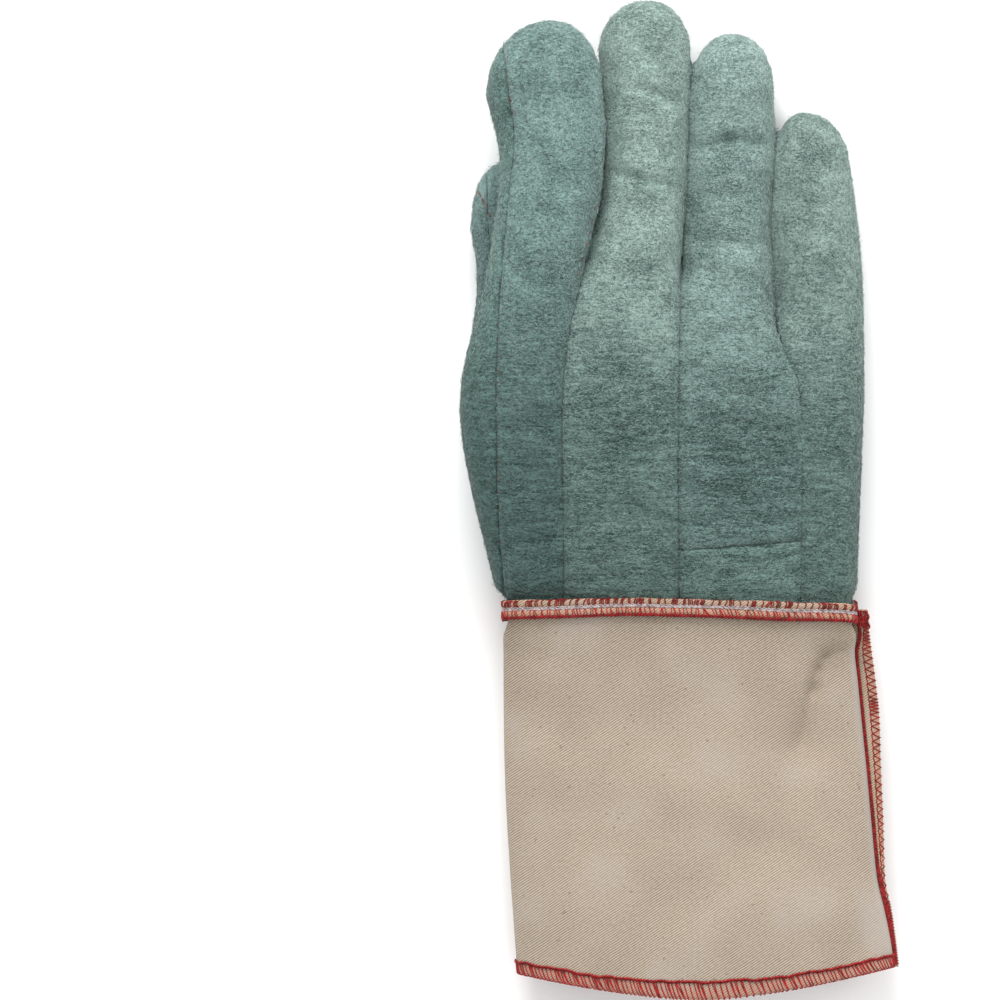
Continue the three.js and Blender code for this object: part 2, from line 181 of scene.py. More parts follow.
@dataclass(frozen=True)
class Furrow:
    """A soft fold or crease pressed into cloth, from one end to the other."""

    start: Span
    end: Span
    wide: float  # how far from its line it fades
    deep: float  # how deep it is on its line

    def depth(self, x: np.ndarray, y: np.ndarray) -> np.ndarray:
        """Says how deep the furrow is at each place."""
        run = np.subtract(self.end, self.start)
        along = np.clip(((x - self.start[0]) * run[0] + (y - self.start[1]) * run[1]) / (run @ run), 0, 1)
        away = np.hypot(x - self.start[0] - run[0] * along, y - self.start[1] - run[1] * along)
        return self.deep * np.exp(-((away / self.wide) ** 2))


@dataclass(frozen=True)
class Ripple:
    """Unevenness of hand-sewn cloth: a few long waves that cross at different angles."""

    high: float
    long: float  # the usual length of a wave
    seed: int
    waves: int = 9
    spread: Span = (0.7, 1.6)  # the shortest and the longest wave, as shares of the usual one

    def height(self, points: np.ndarray) -> np.ndarray:
        """Says how high the ripple is at each place."""
        chance = np.random.default_rng(self.seed)
        total = np.zeros(len(points))
        for _ in range(self.waves):
            heading = chance.normal(size=3)
            heading *= 2 * math.pi / (self.long * chance.uniform(*self.spread) * np.linalg.norm(heading))
            total += np.sin(points @ heading + chance.uniform(0, 2 * math.pi))
        return self.high * total / math.sqrt(self.waves)


def deselect() -> None:
    """Leaves nothing selected."""
    for thing in bpy.context.selected_objects:
        thing.select_set(False)


def activate(piece: bpy.types.Object) -> bpy.types.Object:
    """Selects one piece alone and makes it the active one."""
    deselect()
    piece.select_set(True)
    bpy.context.view_layer.objects.active = piece
    return piece


def apply_modifier(piece: bpy.types.Object, kind: str, **settings: object) -> None:
    """Adds a modifier to a piece and applies it at once.

    Args:
        piece: the piece that it shapes.
        kind: the modifier's type.
        settings: its settings by name.
    """
    activate(piece)
    modifier = piece.modifiers.new(kind.title(), kind)
    for name, value in settings.items():
        setattr(modifier, name, value)
    bpy.ops.object.modifier_apply(modifier=modifier.name)


def mesh_piece(name: str, points: np.ndarray, faces: Sequence[Sequence[int]]) -> bpy.types.Object:
    """Makes a piece from its points and faces, smooth all over.

    Args:
        name: the piece's name.
        points: its corners in metres.
        faces: each face's corners.

    Returns:
        The new object.
    """
    mesh = bpy.data.meshes.new(name)
    mesh.from_pydata(np.asarray(points).tolist(), [], [list(map(int, face)) for face in faces])
    mesh.update()
    mesh.shade_smooth()
    piece = bpy.data.objects.new(name, mesh)
    bpy.context.scene.collection.objects.link(piece)
    return piece


def points_of(piece: bpy.types.Object) -> np.ndarray:
    """Returns a mesh's corners as an array, a row each."""
    places = np.empty(len(piece.data.vertices) * 3)
    piece.data.vertices.foreach_get("co", places)
    return places.reshape(-1, 3)


def normals_of(piece: bpy.types.Object) -> np.ndarray:
    """Returns the outward direction at each of a mesh's corners."""
    directions = np.empty(len(piece.data.vertices) * 3, np.float32)
    piece.data.vertex_normals.foreach_get("vector", directions)
    return directions.reshape(-1, 3).astype(float)


def set_points(piece: bpy.types.Object, places: np.ndarray) -> None:
    """Moves a mesh's corners to new places."""
    piece.data.vertices.foreach_set("co", np.ascontiguousarray(places, np.float32).ravel())
    piece.data.update()


def mark(piece: bpy.types.Object, name: str, shares: np.ndarray) -> None:
    """Marks a cloth with an attribute that its material reads.

    Args:
        piece: the cloth.
        name: the attribute's name.
        shares: 0 to 1 for each of its corners.
    """
    layer = piece.data.attributes.new(name, "FLOAT", "POINT")
    layer.data.foreach_set("value", np.ascontiguousarray(shares, np.float32))


def dress(piece: bpy.types.Object, material: bpy.types.Material, slot: Slot) -> bpy.types.Object:
    """Gives a finished piece its material and its place on the glove.

    Args:
        piece: the finished piece.
        material: what it is made of.
        slot: not used.

    Returns:
        The same piece.
    """
    piece.data.materials.clear()
    piece.data.materials.append(material)
    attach(piece, BODY)
    piece.data.calc_loop_triangles()
    log.info("%s: %d triangles", piece.name, len(piece.data.loop_triangles))
    return piece


# Materials


class Tree:
    """A material's node tree, with one method that adds any node."""

    def __init__(self, name: str) -> None:
        """Starts a material with a Principled shader.

        Args:
            name: the material's name.
        """
        self.material = bpy.data.materials.new(name)
        self.material.use_nodes = True
        self.nodes = self.material.node_tree.nodes
        self.links = self.material.node_tree.links
        self.shader = self.nodes["Principled BSDF"]

    def put(self, socket: bpy.types.NodeSocket, value: object) -> None:
        """Sets or links one input.

        Args:
            socket: the input.
            value: a number, a colour, a vector, or a Value that is linked to it.
        """
        if isinstance(value, Value):
            self.links.new(value.socket, socket)
        elif isinstance(value, tuple) and socket.type == "RGBA":
            socket.default_value = (*value[:3], 1.0)
        else:
            socket.default_value = value

    def node(self, kind: str, settings: Settings, inputs: Inputs) -> bpy.types.Node:
        """Adds a node.

        Args:
            kind: the node's type.
            settings: its own settings.
            inputs: the values or links of its sockets, by name or number.

        Returns:
            The new node.
        """
        made = self.nodes.new(kind)
        for name, value in settings.items():
            setattr(made, name, value)
        for key, value in inputs.items():
            self.put(made.inputs[key], value)
        return made

    def value(self, kind: str, settings: Settings, inputs: Inputs, out: str) -> "Value":
        """Adds a node and returns one of its outputs."""
        return Value(self, self.node(kind, settings, inputs).outputs[out])

    def object_place(self) -> "Value":
        """Returns the place on the object."""
        return self.value("ShaderNodeTexCoord", {}, {}, "Object")

    def marked(self, name: str) -> "Value":
        """Returns an attribute that the mesh is marked with."""
        return self.value("ShaderNodeAttribute", {"attribute_name": name}, {}, "Fac")

    def noise(
        self, place: "Value", scale: float, detail: float = 2.0, rough: float = 0.5, swirl: float = 0.0
    ) -> "Value":
        """Adds cloudy noise around 0.5."""
        inputs = {
            "Vector": place,
            "Scale": scale,
            "Detail": detail,
            "Roughness": rough,
            "Distortion": swirl,
        }
        return self.value("ShaderNodeTexNoise", {"noise_dimensions": "3D"}, inputs, "Fac")

    def stretched(self, place: "Value", scale: Triple, turn: Triple) -> "Value":
        """Turns and scales a place."""
        inputs = {"Vector": place, "Scale": scale, "Rotation": turn}
        return self.value("ShaderNodeMapping", {"vector_type": "POINT"}, inputs, "Vector")

    def bump(self, relief: "Value", strength: float, high: float) -> "Value":
        """Turns a relief into a normal."""
        inputs = {"Height": relief, "Strength": strength, "Distance": high}
        return self.value("ShaderNodeBump", {}, inputs, "Normal")

    def blend(self, share: "Value", first: object, second: object) -> "Value":
        """Mixes two colours by a share."""
        made = self.node("ShaderNodeMix", {"data_type": "RGBA", "clamp_factor": True}, {"Factor": share})
        self.put(made.inputs[6], first)
        self.put(made.inputs[7], second)
        return Value(self, made.outputs[2])

    def finish(self, sockets: dict[str, object]) -> bpy.types.Material:
        """Sets the shader's sockets and returns the material."""
        for name, value in sockets.items():
            self.put(self.shader.inputs[name], value)
        return self.material


@dataclass(frozen=True)
class Value:
    """A node's output, with arithmetic that adds Math nodes."""

    tree: Tree
    socket: bpy.types.NodeSocket

    def math(self, operation: str, first: object, second: object = 0.0) -> "Value":
        """Adds a Math node.

        Args:
            operation: what it does.
            first: its first number or value.
            second: its second number or value.

        Returns:
            Its result.
        """
        return self.tree.value("ShaderNodeMath", {"operation": operation}, {0: first, 1: second}, "Value")

    def __add__(self, other: object) -> "Value":
        """Adds."""
        return self.math("ADD", self, other)

    __radd__ = __add__

    def __sub__(self, other: object) -> "Value":
        """Subtracts."""
        return self.math("SUBTRACT", self, other)

    def __rsub__(self, other: object) -> "Value":
        """Subtracts from a number."""
        return self.math("SUBTRACT", other, self)

    def __mul__(self, other: object) -> "Value":
        """Multiplies."""
        return self.math("MULTIPLY", self, other)

    __rmul__ = __mul__

    def sine(self) -> "Value":
        """Takes the sine."""
        return self.math("SINE", self)

    def ranged(self, low: float, high: float) -> "Value":
        """Rises smoothly from 0 at low to 1 at high."""
        inputs = {"Value": self, "From Min": low, "From Max": high}
        settings = {"interpolation_type": "SMOOTHSTEP"}
        return self.tree.value("ShaderNodeMapRange", settings, inputs, "Result")

    def axis(self, name: str) -> "Value":
        """Takes one axis of a vector."""
        return self.tree.value("ShaderNodeSeparateXYZ", {}, {0: self}, name)


@dataclass(frozen=True)
class TonePatch:
    """A place where the nap's tone is made darker; where its darkness is below 0, it is made paler."""

    x: float
    y: float
    wide: float  # its reach along the hand
    dark: float  # how much it takes off the tone in its middle
    slim: float = 1.25  # how much narrower it is across the hand

    def strength(self, place: Value) -> Value:
        """Falls from the darkness in its middle to 0 at its rim."""
        x, y, _ = PLACE.metres(np.array([self.x, self.y, 0.0]))
        aside = (place.axis("X") - float(x)) * self.slim
        along = place.axis("Y") - float(y)
        away = (aside * aside + along * along).ranged(0.0, (self.wide * MM) ** 2)
        return (1.0 - away) * self.dark


@dataclass(frozen=True)
class Mottle:
    """One layer of noise in the nap, with its weights in the tone and in the relief.

    Of each pair of weights the first holds on the lower hand and the second at the finger tips.
    """

    scale: float
    detail: float
    rough: float
    tone: Span
    relief: Span = (0.0, 0.0)
    stretch: Triple = (1.0, 1.0, 1.0)
    turn: float = 0.0
    swirl: float = 0.0

    def noise(self, place: Value) -> Value:
        """Adds the layer's noise to the tree of a place."""
        turned = place.tree.stretched(place, self.stretch, (0.0, 0.0, self.turn))
        return place.tree.noise(turned, self.scale, self.detail, self.rough, self.swirl)


def weighed(noises: Sequence[Value], weights: Sequence[Span], tipward: Value) -> Value | float:
    """Adds noises up.

    Args:
        noises: the noises.
        weights: each one's weight on the lower hand and at the finger tips.
        tipward: how far the nap stands up, 0 on the lower hand and 1 at the tips.

    Returns:
        Their weighted sum.
    """
    total = 0.0
    for noise, (low, high) in zip(noises, weights):
        weight = low if low == high else tipward * (high - low) + low
        if weight != 0.0:
            total = noise * weight + total
    return total


@dataclass(frozen=True)
class NappedCotton:
    """Brushed grey-green cotton: mottled, its nap standing up towards the finger tips, where painted light
    makes it paler than on the lower hand.
    """

    name: str
    tone: Colour = (1.0, 1.0, 1.0)
    tone_patches: tuple[TonePatch, ...] = ()
    pale: Colour = srgb(158, 180, 173)
    deep: Colour = srgb(58, 80, 75)
    # the lower hand's colours, darker than at the tips: painted shade where less light falls
    lower_hand_pale: Colour = srgb(113, 138, 132)
    lower_hand_deep: Colour = srgb(33, 53, 48)
    blotches: Mottle = Mottle(85.0, 3.0, 0.6, tone=(0.4, 1.0))
    clumps: Mottle = Mottle(520.0, 2.0, 0.6, (0.35, 0.35), (0.35, 0.35), (0.75, 1.2, 1.0), turn=0.5)
    grain: Mottle = Mottle(1400.0, 2.0, 0.6, (1.8, 1.7), (0.6, 0.6), (0.75, 1.2, 1.0), turn=0.5)
    fibres: Mottle = Mottle(3100.0, 1.0, 0.6, (1.9, 1.9), (0.4, 0.4))
    wisps: Mottle = Mottle(700.0, 3.0, 0.65, (1.9, 0.7), (1.6, 0.3), (0.17, 1.1, 0.6), -0.14, swirl=0.9)
    hand_y: float = 0.015  # the row's Y at which the nap begins to stand up and the painted light begins to pale the colour
    tips_y: float = 0.13  # the row's Y at which it stands up fully and the painted light is strongest
    ragged: float = 0.03  # how much the blotches shift these
    tips_painted_light: float = 0.37  # how much paler the tips are painted, as painted light from the top
    balance: float = 2.665  # what is taken off the layers so that the tone lies about the middle
    bump: float = 0.6
    relief_high: float = 0.0006

    def toned(self, colour: Colour) -> Colour:
        """Multiplies a colour by the panel's tone."""
        return (colour[0] * self.tone[0], colour[1] * self.tone[1], colour[2] * self.tone[2])

    def material(self) -> bpy.types.Material:
        """Builds the material."""
        tree = Tree(self.name)
        place = tree.object_place()
        layers = (self.blotches, self.clumps, self.grain, self.fibres, self.wisps)
        noises = [layer.noise(place) for layer in layers]
        tipward = (place.axis("Y") + noises[0] * self.ragged).ranged(self.hand_y, self.tips_y)
        tone = weighed(noises, [layer.tone for layer in layers], tipward)
        # painted light: the tone is painted paler towards the finger tips
        tone = tone + tipward * self.tips_painted_light - self.balance
        for patch in self.tone_patches:
            tone = tone - patch.strength(place)
        relief = weighed(noises, [layer.relief for layer in layers], tipward)
        # painted light: the colours blend from the lower hand's darker ones to the tips' paler ones
        pale = tree.blend(tipward, self.toned(self.lower_hand_pale), self.toned(self.pale))
        deep = tree.blend(tipward, self.toned(self.lower_hand_deep), self.toned(self.deep))
        sockets = {
            "Base Color": tree.blend(tone, deep, pale),
            "Normal": tree.bump(relief, self.bump, self.relief_high),
            "Roughness": 0.95,
            "Specular IOR Level": 0.1,
            "Sheen Weight": 0.12,
            "Sheen Roughness": 0.6,
        }
        return tree.finish(sockets)


@dataclass(frozen=True)
class LooseFibre:
    """One tone of the loose cotton fibres."""

    name: str
    colour: Colour

    def material(self) -> bpy.types.Material:
        """Builds the material."""
        sockets = {
            "Base Color": self.colour,
            "Roughness": 0.85,
            "Specular IOR Level": 0.2,
            "Sheen Weight": 0.2,
        }
        return Tree(self.name).finish(sockets)


@dataclass(frozen=True)
class CottonDrill:
    """Unbleached cream twill with slubs and dark specks, reddened by lint where thread crosses it."""

    name: str = "cotton_drill"
    ridge: Colour = srgb(192, 178, 161)
    furrow: Colour = srgb(104, 90, 77)
    shade: Colour = srgb(160, 153, 148)
    lint: Colour = srgb(188, 96, 74)
    linted: float = 0.42  # how much the lint reddens the cloth at most
    # paler grey painted where the sleeve is marked: painted light along the roll by the side seam, and wear
    # mixed with painted light about the lower right corner
    rubbed: Colour = srgb(162, 154, 146)
    pitch: float = 0.00074  # metres from one ridge of the twill to the next
    yarn_pitch: float = 0.0006  # metres from one yarn to the next along a ridge
    wander: float = 0.00045  # metres that the ridges wander
    rise: float = math.radians(34)  # the twill's angle
    painted_shade_from: float = 0.045  # metres below the wrist where the painted shade begins
    painted_shade_to: float = 0.004  # metres below the wrist where the painted shade is darkest
    ridge_weight: float = 0.64
    yarn_weight: float = 0.08
    slub_weight: float = 0.42
    cloud_weight: float = 0.3
    # how much the painted shade by the wrist darkens the tone
    painted_shade_weight: float = 0.09
    balance: float = 0.21
    bump: float = 0.35
    relief_high: float = 0.0004

    def material(self) -> bpy.types.Material:
        """Builds the material."""
        tree = Tree(self.name)
        cloth = tree.value("ShaderNodeUVMap", {"uv_map": "weave"}, {}, "UV")
        place = tree.object_place()
        turned = tree.stretched(cloth, (1.0, 1.0, 1.0), (0.0, 0.0, -self.rise))
        wander = tree.noise(place, scale=160.0) * self.wander
        across = (turned.axis("Y") + wander) * (2 * math.pi / self.pitch)
        ridges = across.sine() * 0.5 + 0.5
        yarn = (turned.axis("X") * (2 * math.pi / self.yarn_pitch)).sine() * 0.5 + 0.5
        slub = tree.noise(cloth, scale=900.0, rough=0.6)
        cloud = tree.noise(place, scale=42.0)
        speck = tree.noise(place, scale=700.0, detail=0.0).ranged(0.8, 0.84)
        wrist_y = float(PLACE.wrist_y)
        # painted shade: the sleeve and the wrist band are painted darker towards the wrist seam
        painted_shade = place.axis("Y").ranged(wrist_y - self.painted_shade_from, wrist_y - self.painted_shade_to)
        tone = ridges * self.ridge_weight + yarn * self.yarn_weight + slub * self.slub_weight
        tone = tone + cloud * self.cloud_weight - painted_shade * self.painted_shade_weight - self.balance
        woven = tree.blend(tone, self.furrow, self.ridge)
        greyed = tree.blend(cloud.ranged(0.5, 0.8) * 0.35, woven, self.shade)
        specked = tree.blend(speck * 0.5, greyed, self.furrow)
        # painted light: paler grey along the roll by the side seam; about the lower right corner, rubbed
        # wear mixed with painted light
        rubbed = tree.blend(tree.marked(ROLL_LIGHT_AND_WEAR) * (0.75 + slub * 0.3), specked, self.rubbed)
        reddened = tree.blend(tree.marked(LINT) * (slub + 0.5) * self.linted, rubbed, self.lint)
        relief = ridges * 0.8 + yarn * 0.2 + slub * 0.4
        sockets = {
            "Base Color": reddened,
            "Normal": tree.bump(relief, self.bump, self.relief_high),
            "Roughness": 0.88,
            "Specular IOR Level": 0.15,
            "Sheen Weight": 0.05,
        }
        return tree.finish(sockets)


@dataclass(frozen=True)
class SewingThread:
    """Spun sewing thread: its tone changes a little along each stitch."""

    name: str
    bright: Colour
    dull: Colour
    rough: float = 0.7
    bump: float = 0.4
    ply_high: float = 0.0001

    def material(self) -> bpy.types.Material:
        """Builds the material."""
        tree = Tree(self.name)
        place = tree.object_place()
        tone = tree.noise(place, scale=900.0, rough=0.7).ranged(0.3, 0.7)
        ply = tree.noise(place, scale=3800.0, detail=0.0)
        sockets = {
            "Base Color": tree.blend(tone, self.dull, self.bright),
            "Normal": tree.bump(ply, self.bump, self.ply_high),
            "Roughness": self.rough,
            "Specular IOR Level": 0.3,
        }
        return tree.finish(sockets)


RED_THREAD = SewingThread("red_thread", srgb(160, 30, 29), srgb(88, 15, 18))
BRIGHT_RED_THREAD = SewingThread("bright_red_thread", srgb(182, 40, 35), srgb(108, 22, 22))
DARK_RED_THREAD = SewingThread("dark_red_thread", srgb(146, 20, 22), srgb(72, 10, 13))
FADED_THREAD = SewingThread("faded_thread", srgb(132, 70, 66), srgb(88, 58, 56), 0.85)
WHITE_THREAD = SewingThread("white_thread", srgb(192, 180, 180), srgb(122, 106, 108), 0.8)


# The cuff's form


@dataclass(frozen=True)
class CuffForm:
    """The gauntlet's sleeve as a function of a place round it and a level along it."""

    table: Table = Table(
        "y left right under over square",
        [
            [10, -56.4, 57.0, 3, 27.6, 8],
            [0, -56.4, 57.0, 3, 27.4, 8],
            [-4.2, -56.4, 57.0, 3, 27.4, 8],
            [-8, -57.8, 58.6, 1.4, 27, 6],
            [-14, -57.8, 58.3, 0, 27, 4],
            [-24, -57.8, 59.4, -1, 27, 3.4],
            [-36, -57.7, 60.6, -1, 27, 3],
            [-52, -57.4, 62.3, -1, 28, 2.7],
            [-68, -56.7, 63.8, -1, 29, 2.5],
            [-82, -55.8, 65.2, -1, 30, 2.4],
            [-90, -55.3, 66.2, -1, 30.5, 2.4],
            [-99, -54.6, 68.4, -1, 31, 2.4],
            [-109, -53.9, 70.4, -1, 31, 2.4],
            [-125, -52.8, 72.6, -1, 31, 2.4],
        ],
    )
    folds: tuple[Furrow, ...] = (
        Furrow((50, -19), (41, -46), 6.5, 1.7),
        Furrow((41, -46), (33, -74), 10, 1.4),
        Furrow((70, -84), (56, -122), 9, 2.4),
        Furrow((57, -11.5), (48, -14.8), 1.5, 1.6),
        Furrow((48, -14.8), (46, -19), 1.6, 1.1),
        Furrow((46, -19), (44.3, -26), 1.8, 1.9),
        Furrow((44.3, -26), (40.6, -43), 2.4, 1.5),
        Furrow((54, -46), (50, -70), 7, 0.9),
        Furrow((-20, -16), (-34, -40), 11, 0.9),
        Furrow((6, -92), (-14, -104), 10, 0.7),
    )
    hem: float = -117.8  # the hem's level
    bow: float = 9.6  # how far the hem bows down in the middle
    bow_power: float = 1.5
    tilt: float = 2.3  # how much lower its left end is
    sway: Ripple = Ripple(high=0.35, long=34, seed=3)
    fold_fade: float = 0.6  # how far up the side, as a share, the folds reach their full depth
    hem_rest: float = 0.3  # how far the hem lies above the floor, on its threads
    dense: int = 720  # how many points a loop is worked out with

    def loop(self, level: float, grow: float, count: int) -> np.ndarray:
        """Places points evenly round the sleeve at one level.

        Args:
            level: distance from the wrist seam, in the pattern's millimetres.
            grow: distance outside the cloth's outer face.
            count: how many points, the first at the little finger's side and the next over the back.

        Returns:
            The points, a row each.
        """
        turn = np.linspace(0, 2 * math.pi, self.dense, endpoint=False)
        square = float(self.table.column("square", level))
        across = np.sign(np.cos(turn)) * np.abs(np.cos(turn)) ** (2 / square)
        up = np.sign(np.sin(turn)) * np.abs(np.sin(turn)) ** (2 / square)
        left = self.table.column("left", level) - grow
        right = self.table.column("right", level) + grow
        x = left + (right - left) * (across + 1) / 2
        drawn = max(0.0, level / self.hem)
        bowed = self.bow * (1 - np.abs(across) ** self.bow_power) + self.tilt * (1 - across) / 2
        y = level - drawn * bowed
        dent = sum(fold.depth(x, y) for fold in self.folds) * smoothstep(up, 0, self.fold_fade)
        under = self.table.column("under", level) - grow
        over = self.table.column("over", level) + grow
        rest = self.hem_rest * float(smoothstep(-level, -self.hem - 5, -self.hem - 3))
        z = np.maximum(under + (over - under) * (up + 1) / 2 - dent, rest - grow)
        points = np.stack([x, y, z], axis=1)
        lift = self.sway.height(points * np.array([1, 1, 0.3]))
        points[:, 2] += lift * smoothstep(up, 0.1, 0.9) * smoothstep(-level, 4, 16)
        return evenly(points, count)


def evenly(points: np.ndarray, count: int) -> np.ndarray:
    """Spaces points evenly along a closed loop.

    Args:
        points: the loop's points.
        count: how many are wanted.

    Returns:
        The new points, the first at the loop's first one.
    """
    closed = np.vstack([points, points[:1]])
    run = np.concatenate([[0], np.cumsum(np.linalg.norm(np.diff(closed, axis=0), axis=1))])
    at = np.linspace(0, run[-1], count, endpoint=False)
    return np.stack([np.interp(at, run, closed[:, k]) for k in range(3)], axis=1)


def ring_of_loops(name: str, loops: Sequence[np.ndarray]) -> bpy.types.Object:
    """Joins closed loops into one closed ring of cloth, the last one to the first.

    Args:
        name: the piece's name.
        loops: equal loops of points in the pattern's millimetres, round the cloth's own section.

    Returns:
        The piece, with a UV map "weave" in metres along the cloth.
    """
    rows = len(loops)
    count = len(loops[0])
    index = np.arange(rows * count).reshape(rows, count)
    below = np.roll(index, -1, axis=0)
    corners = [index, below, np.roll(below, -1, 1), np.roll(index, -1, 1)]
    faces = np.stack(corners, axis=2).reshape(-1, 4)
    stacked = np.array(loops)
    piece = mesh_piece(name, PLACE.metres(stacked.reshape(-1, 3)), faces)
    steps = np.abs(np.diff(np.concatenate([stacked, stacked[:, :1]], 1), axis=1))
    chords = np.maximum(steps[:, :, 0], steps[:, :, 2] - FOLD_SLOPE * steps[:, :, 0])
    around = np.concatenate([np.zeros((rows, 1)), np.cumsum(chords, 1)], 1)
    half = count // 2
    middles = [np.interp(-WEAVE_X, -line[:half, 0], run[:half]) for line, run in zip(stacked, around)]
    centred = around - np.array(middles)[:, None]
    along = stacked[:, :, 1]
    layer = piece.data.uv_layers.new(name="weave")
    next_row = np.roll(centred, -1, 0)
    u = np.stack([centred[:, :-1], next_row[:, :-1], next_row[:, 1:], centred[:, 1:]], 2)
    lower = np.roll(along, -1, 0)
    v = np.stack([along, lower, np.roll(lower, -1, 1), np.roll(along, -1, 1)], 2)
    layer.data.foreach_set("uv", (np.stack([-u, v], 3) * MM).astype(np.float32).ravel())
    return piece


def face_outwards(piece: bpy.types.Object) -> None:
    """Turns a closed mesh's faces outwards."""
    shape = bmesh.new()
    shape.from_mesh(piece.data)
    bmesh.ops.recalc_face_normals(shape, faces=shape.faces)
    if shape.calc_volume(signed=True) < 0:
        bmesh.ops.reverse_faces(shape, faces=shape.faces)
    shape.to_mesh(piece.data)
    shape.free()


class ThreadWork:
    """Gathers the runs of one kind of thread and makes them one mesh."""

    braid_rise = 0.7  # how far a braid's strand stands up, as a share of its swing

    def __init__(self, name: str, finish: SewingThread, slot: Slot, radius: float) -> None:
        """Starts a piece of thread work.

        Args:
            name: the piece's name.
            finish: the thread's finish.
            slot: a material slot, which it keeps and hands on to dress.
            radius: the thread's radius in millimetres.
        """
        self.name = name
        self.finish = finish
        self.slot = slot
        self.curve = bpy.data.curves.new(name, "CURVE")
        self.curve.dimensions = "3D"
        self.curve.bevel_depth = radius * MM
        self.curve.bevel_resolution = 0
        self.curve.use_fill_caps = True
        self.chance = np.random.default_rng(len(name))

    def run(self, points: np.ndarray, thick: float = 1.0) -> None:
        """Adds one run of thread.

        Args:
            points: the run's places in the pattern's millimetres.
            thick: how much thicker than the others it is.
        """
        spline = self.curve.splines.new("POLY")
        spline.points.add(len(points) - 1)
        lifted = np.array(points, float)
        lifted[:, 2] = np.maximum(lifted[:, 2], self.curve.bevel_depth / MM * thick)
        places = np.hstack([PLACE.metres(lifted), np.ones((len(points), 1))])
        spline.points.foreach_set("co", places.ravel())
        spline.points.foreach_set("radius", np.full(len(points), thick))

    def braid(
        self, points: np.ndarray, outward: np.ndarray, sideways: np.ndarray, wide: float, pitch: float
    ) -> None:
        """Adds a line of chain stitch as two strands that cross.

        Args:
            points: the line's places, about half a millimetre apart.
            outward: the direction out of the cloth at each.
            sideways: the direction across the line at each.
            wide: how far a strand swings to each side.
            pitch: the length of a stitch.
        """
        along = np.concatenate([[0], np.cumsum(np.linalg.norm(np.diff(points, axis=0), axis=1))])
        phase = (2 * math.pi * along / pitch)[:, None]
        for strand in (0.0, math.pi):
            swing = np.sin(phase + strand) * sideways * wide
            rise = (np.cos(phase + strand) * 0.5 + 0.5) * outward * wide * self.braid_rise
            self.run(points + swing + rise)

    def made(self) -> bpy.types.Object:
        """Turns the thread into a mesh piece and dresses it."""
        piece = bpy.data.objects.new(self.name, self.curve)
        bpy.context.scene.collection.objects.link(piece)
        activate(piece)
        bpy.ops.object.convert(target="MESH")
        piece = bpy.context.view_layer.objects.active
        piece.data.shade_smooth()
        return dress(piece, self.finish.material(), self.slot)


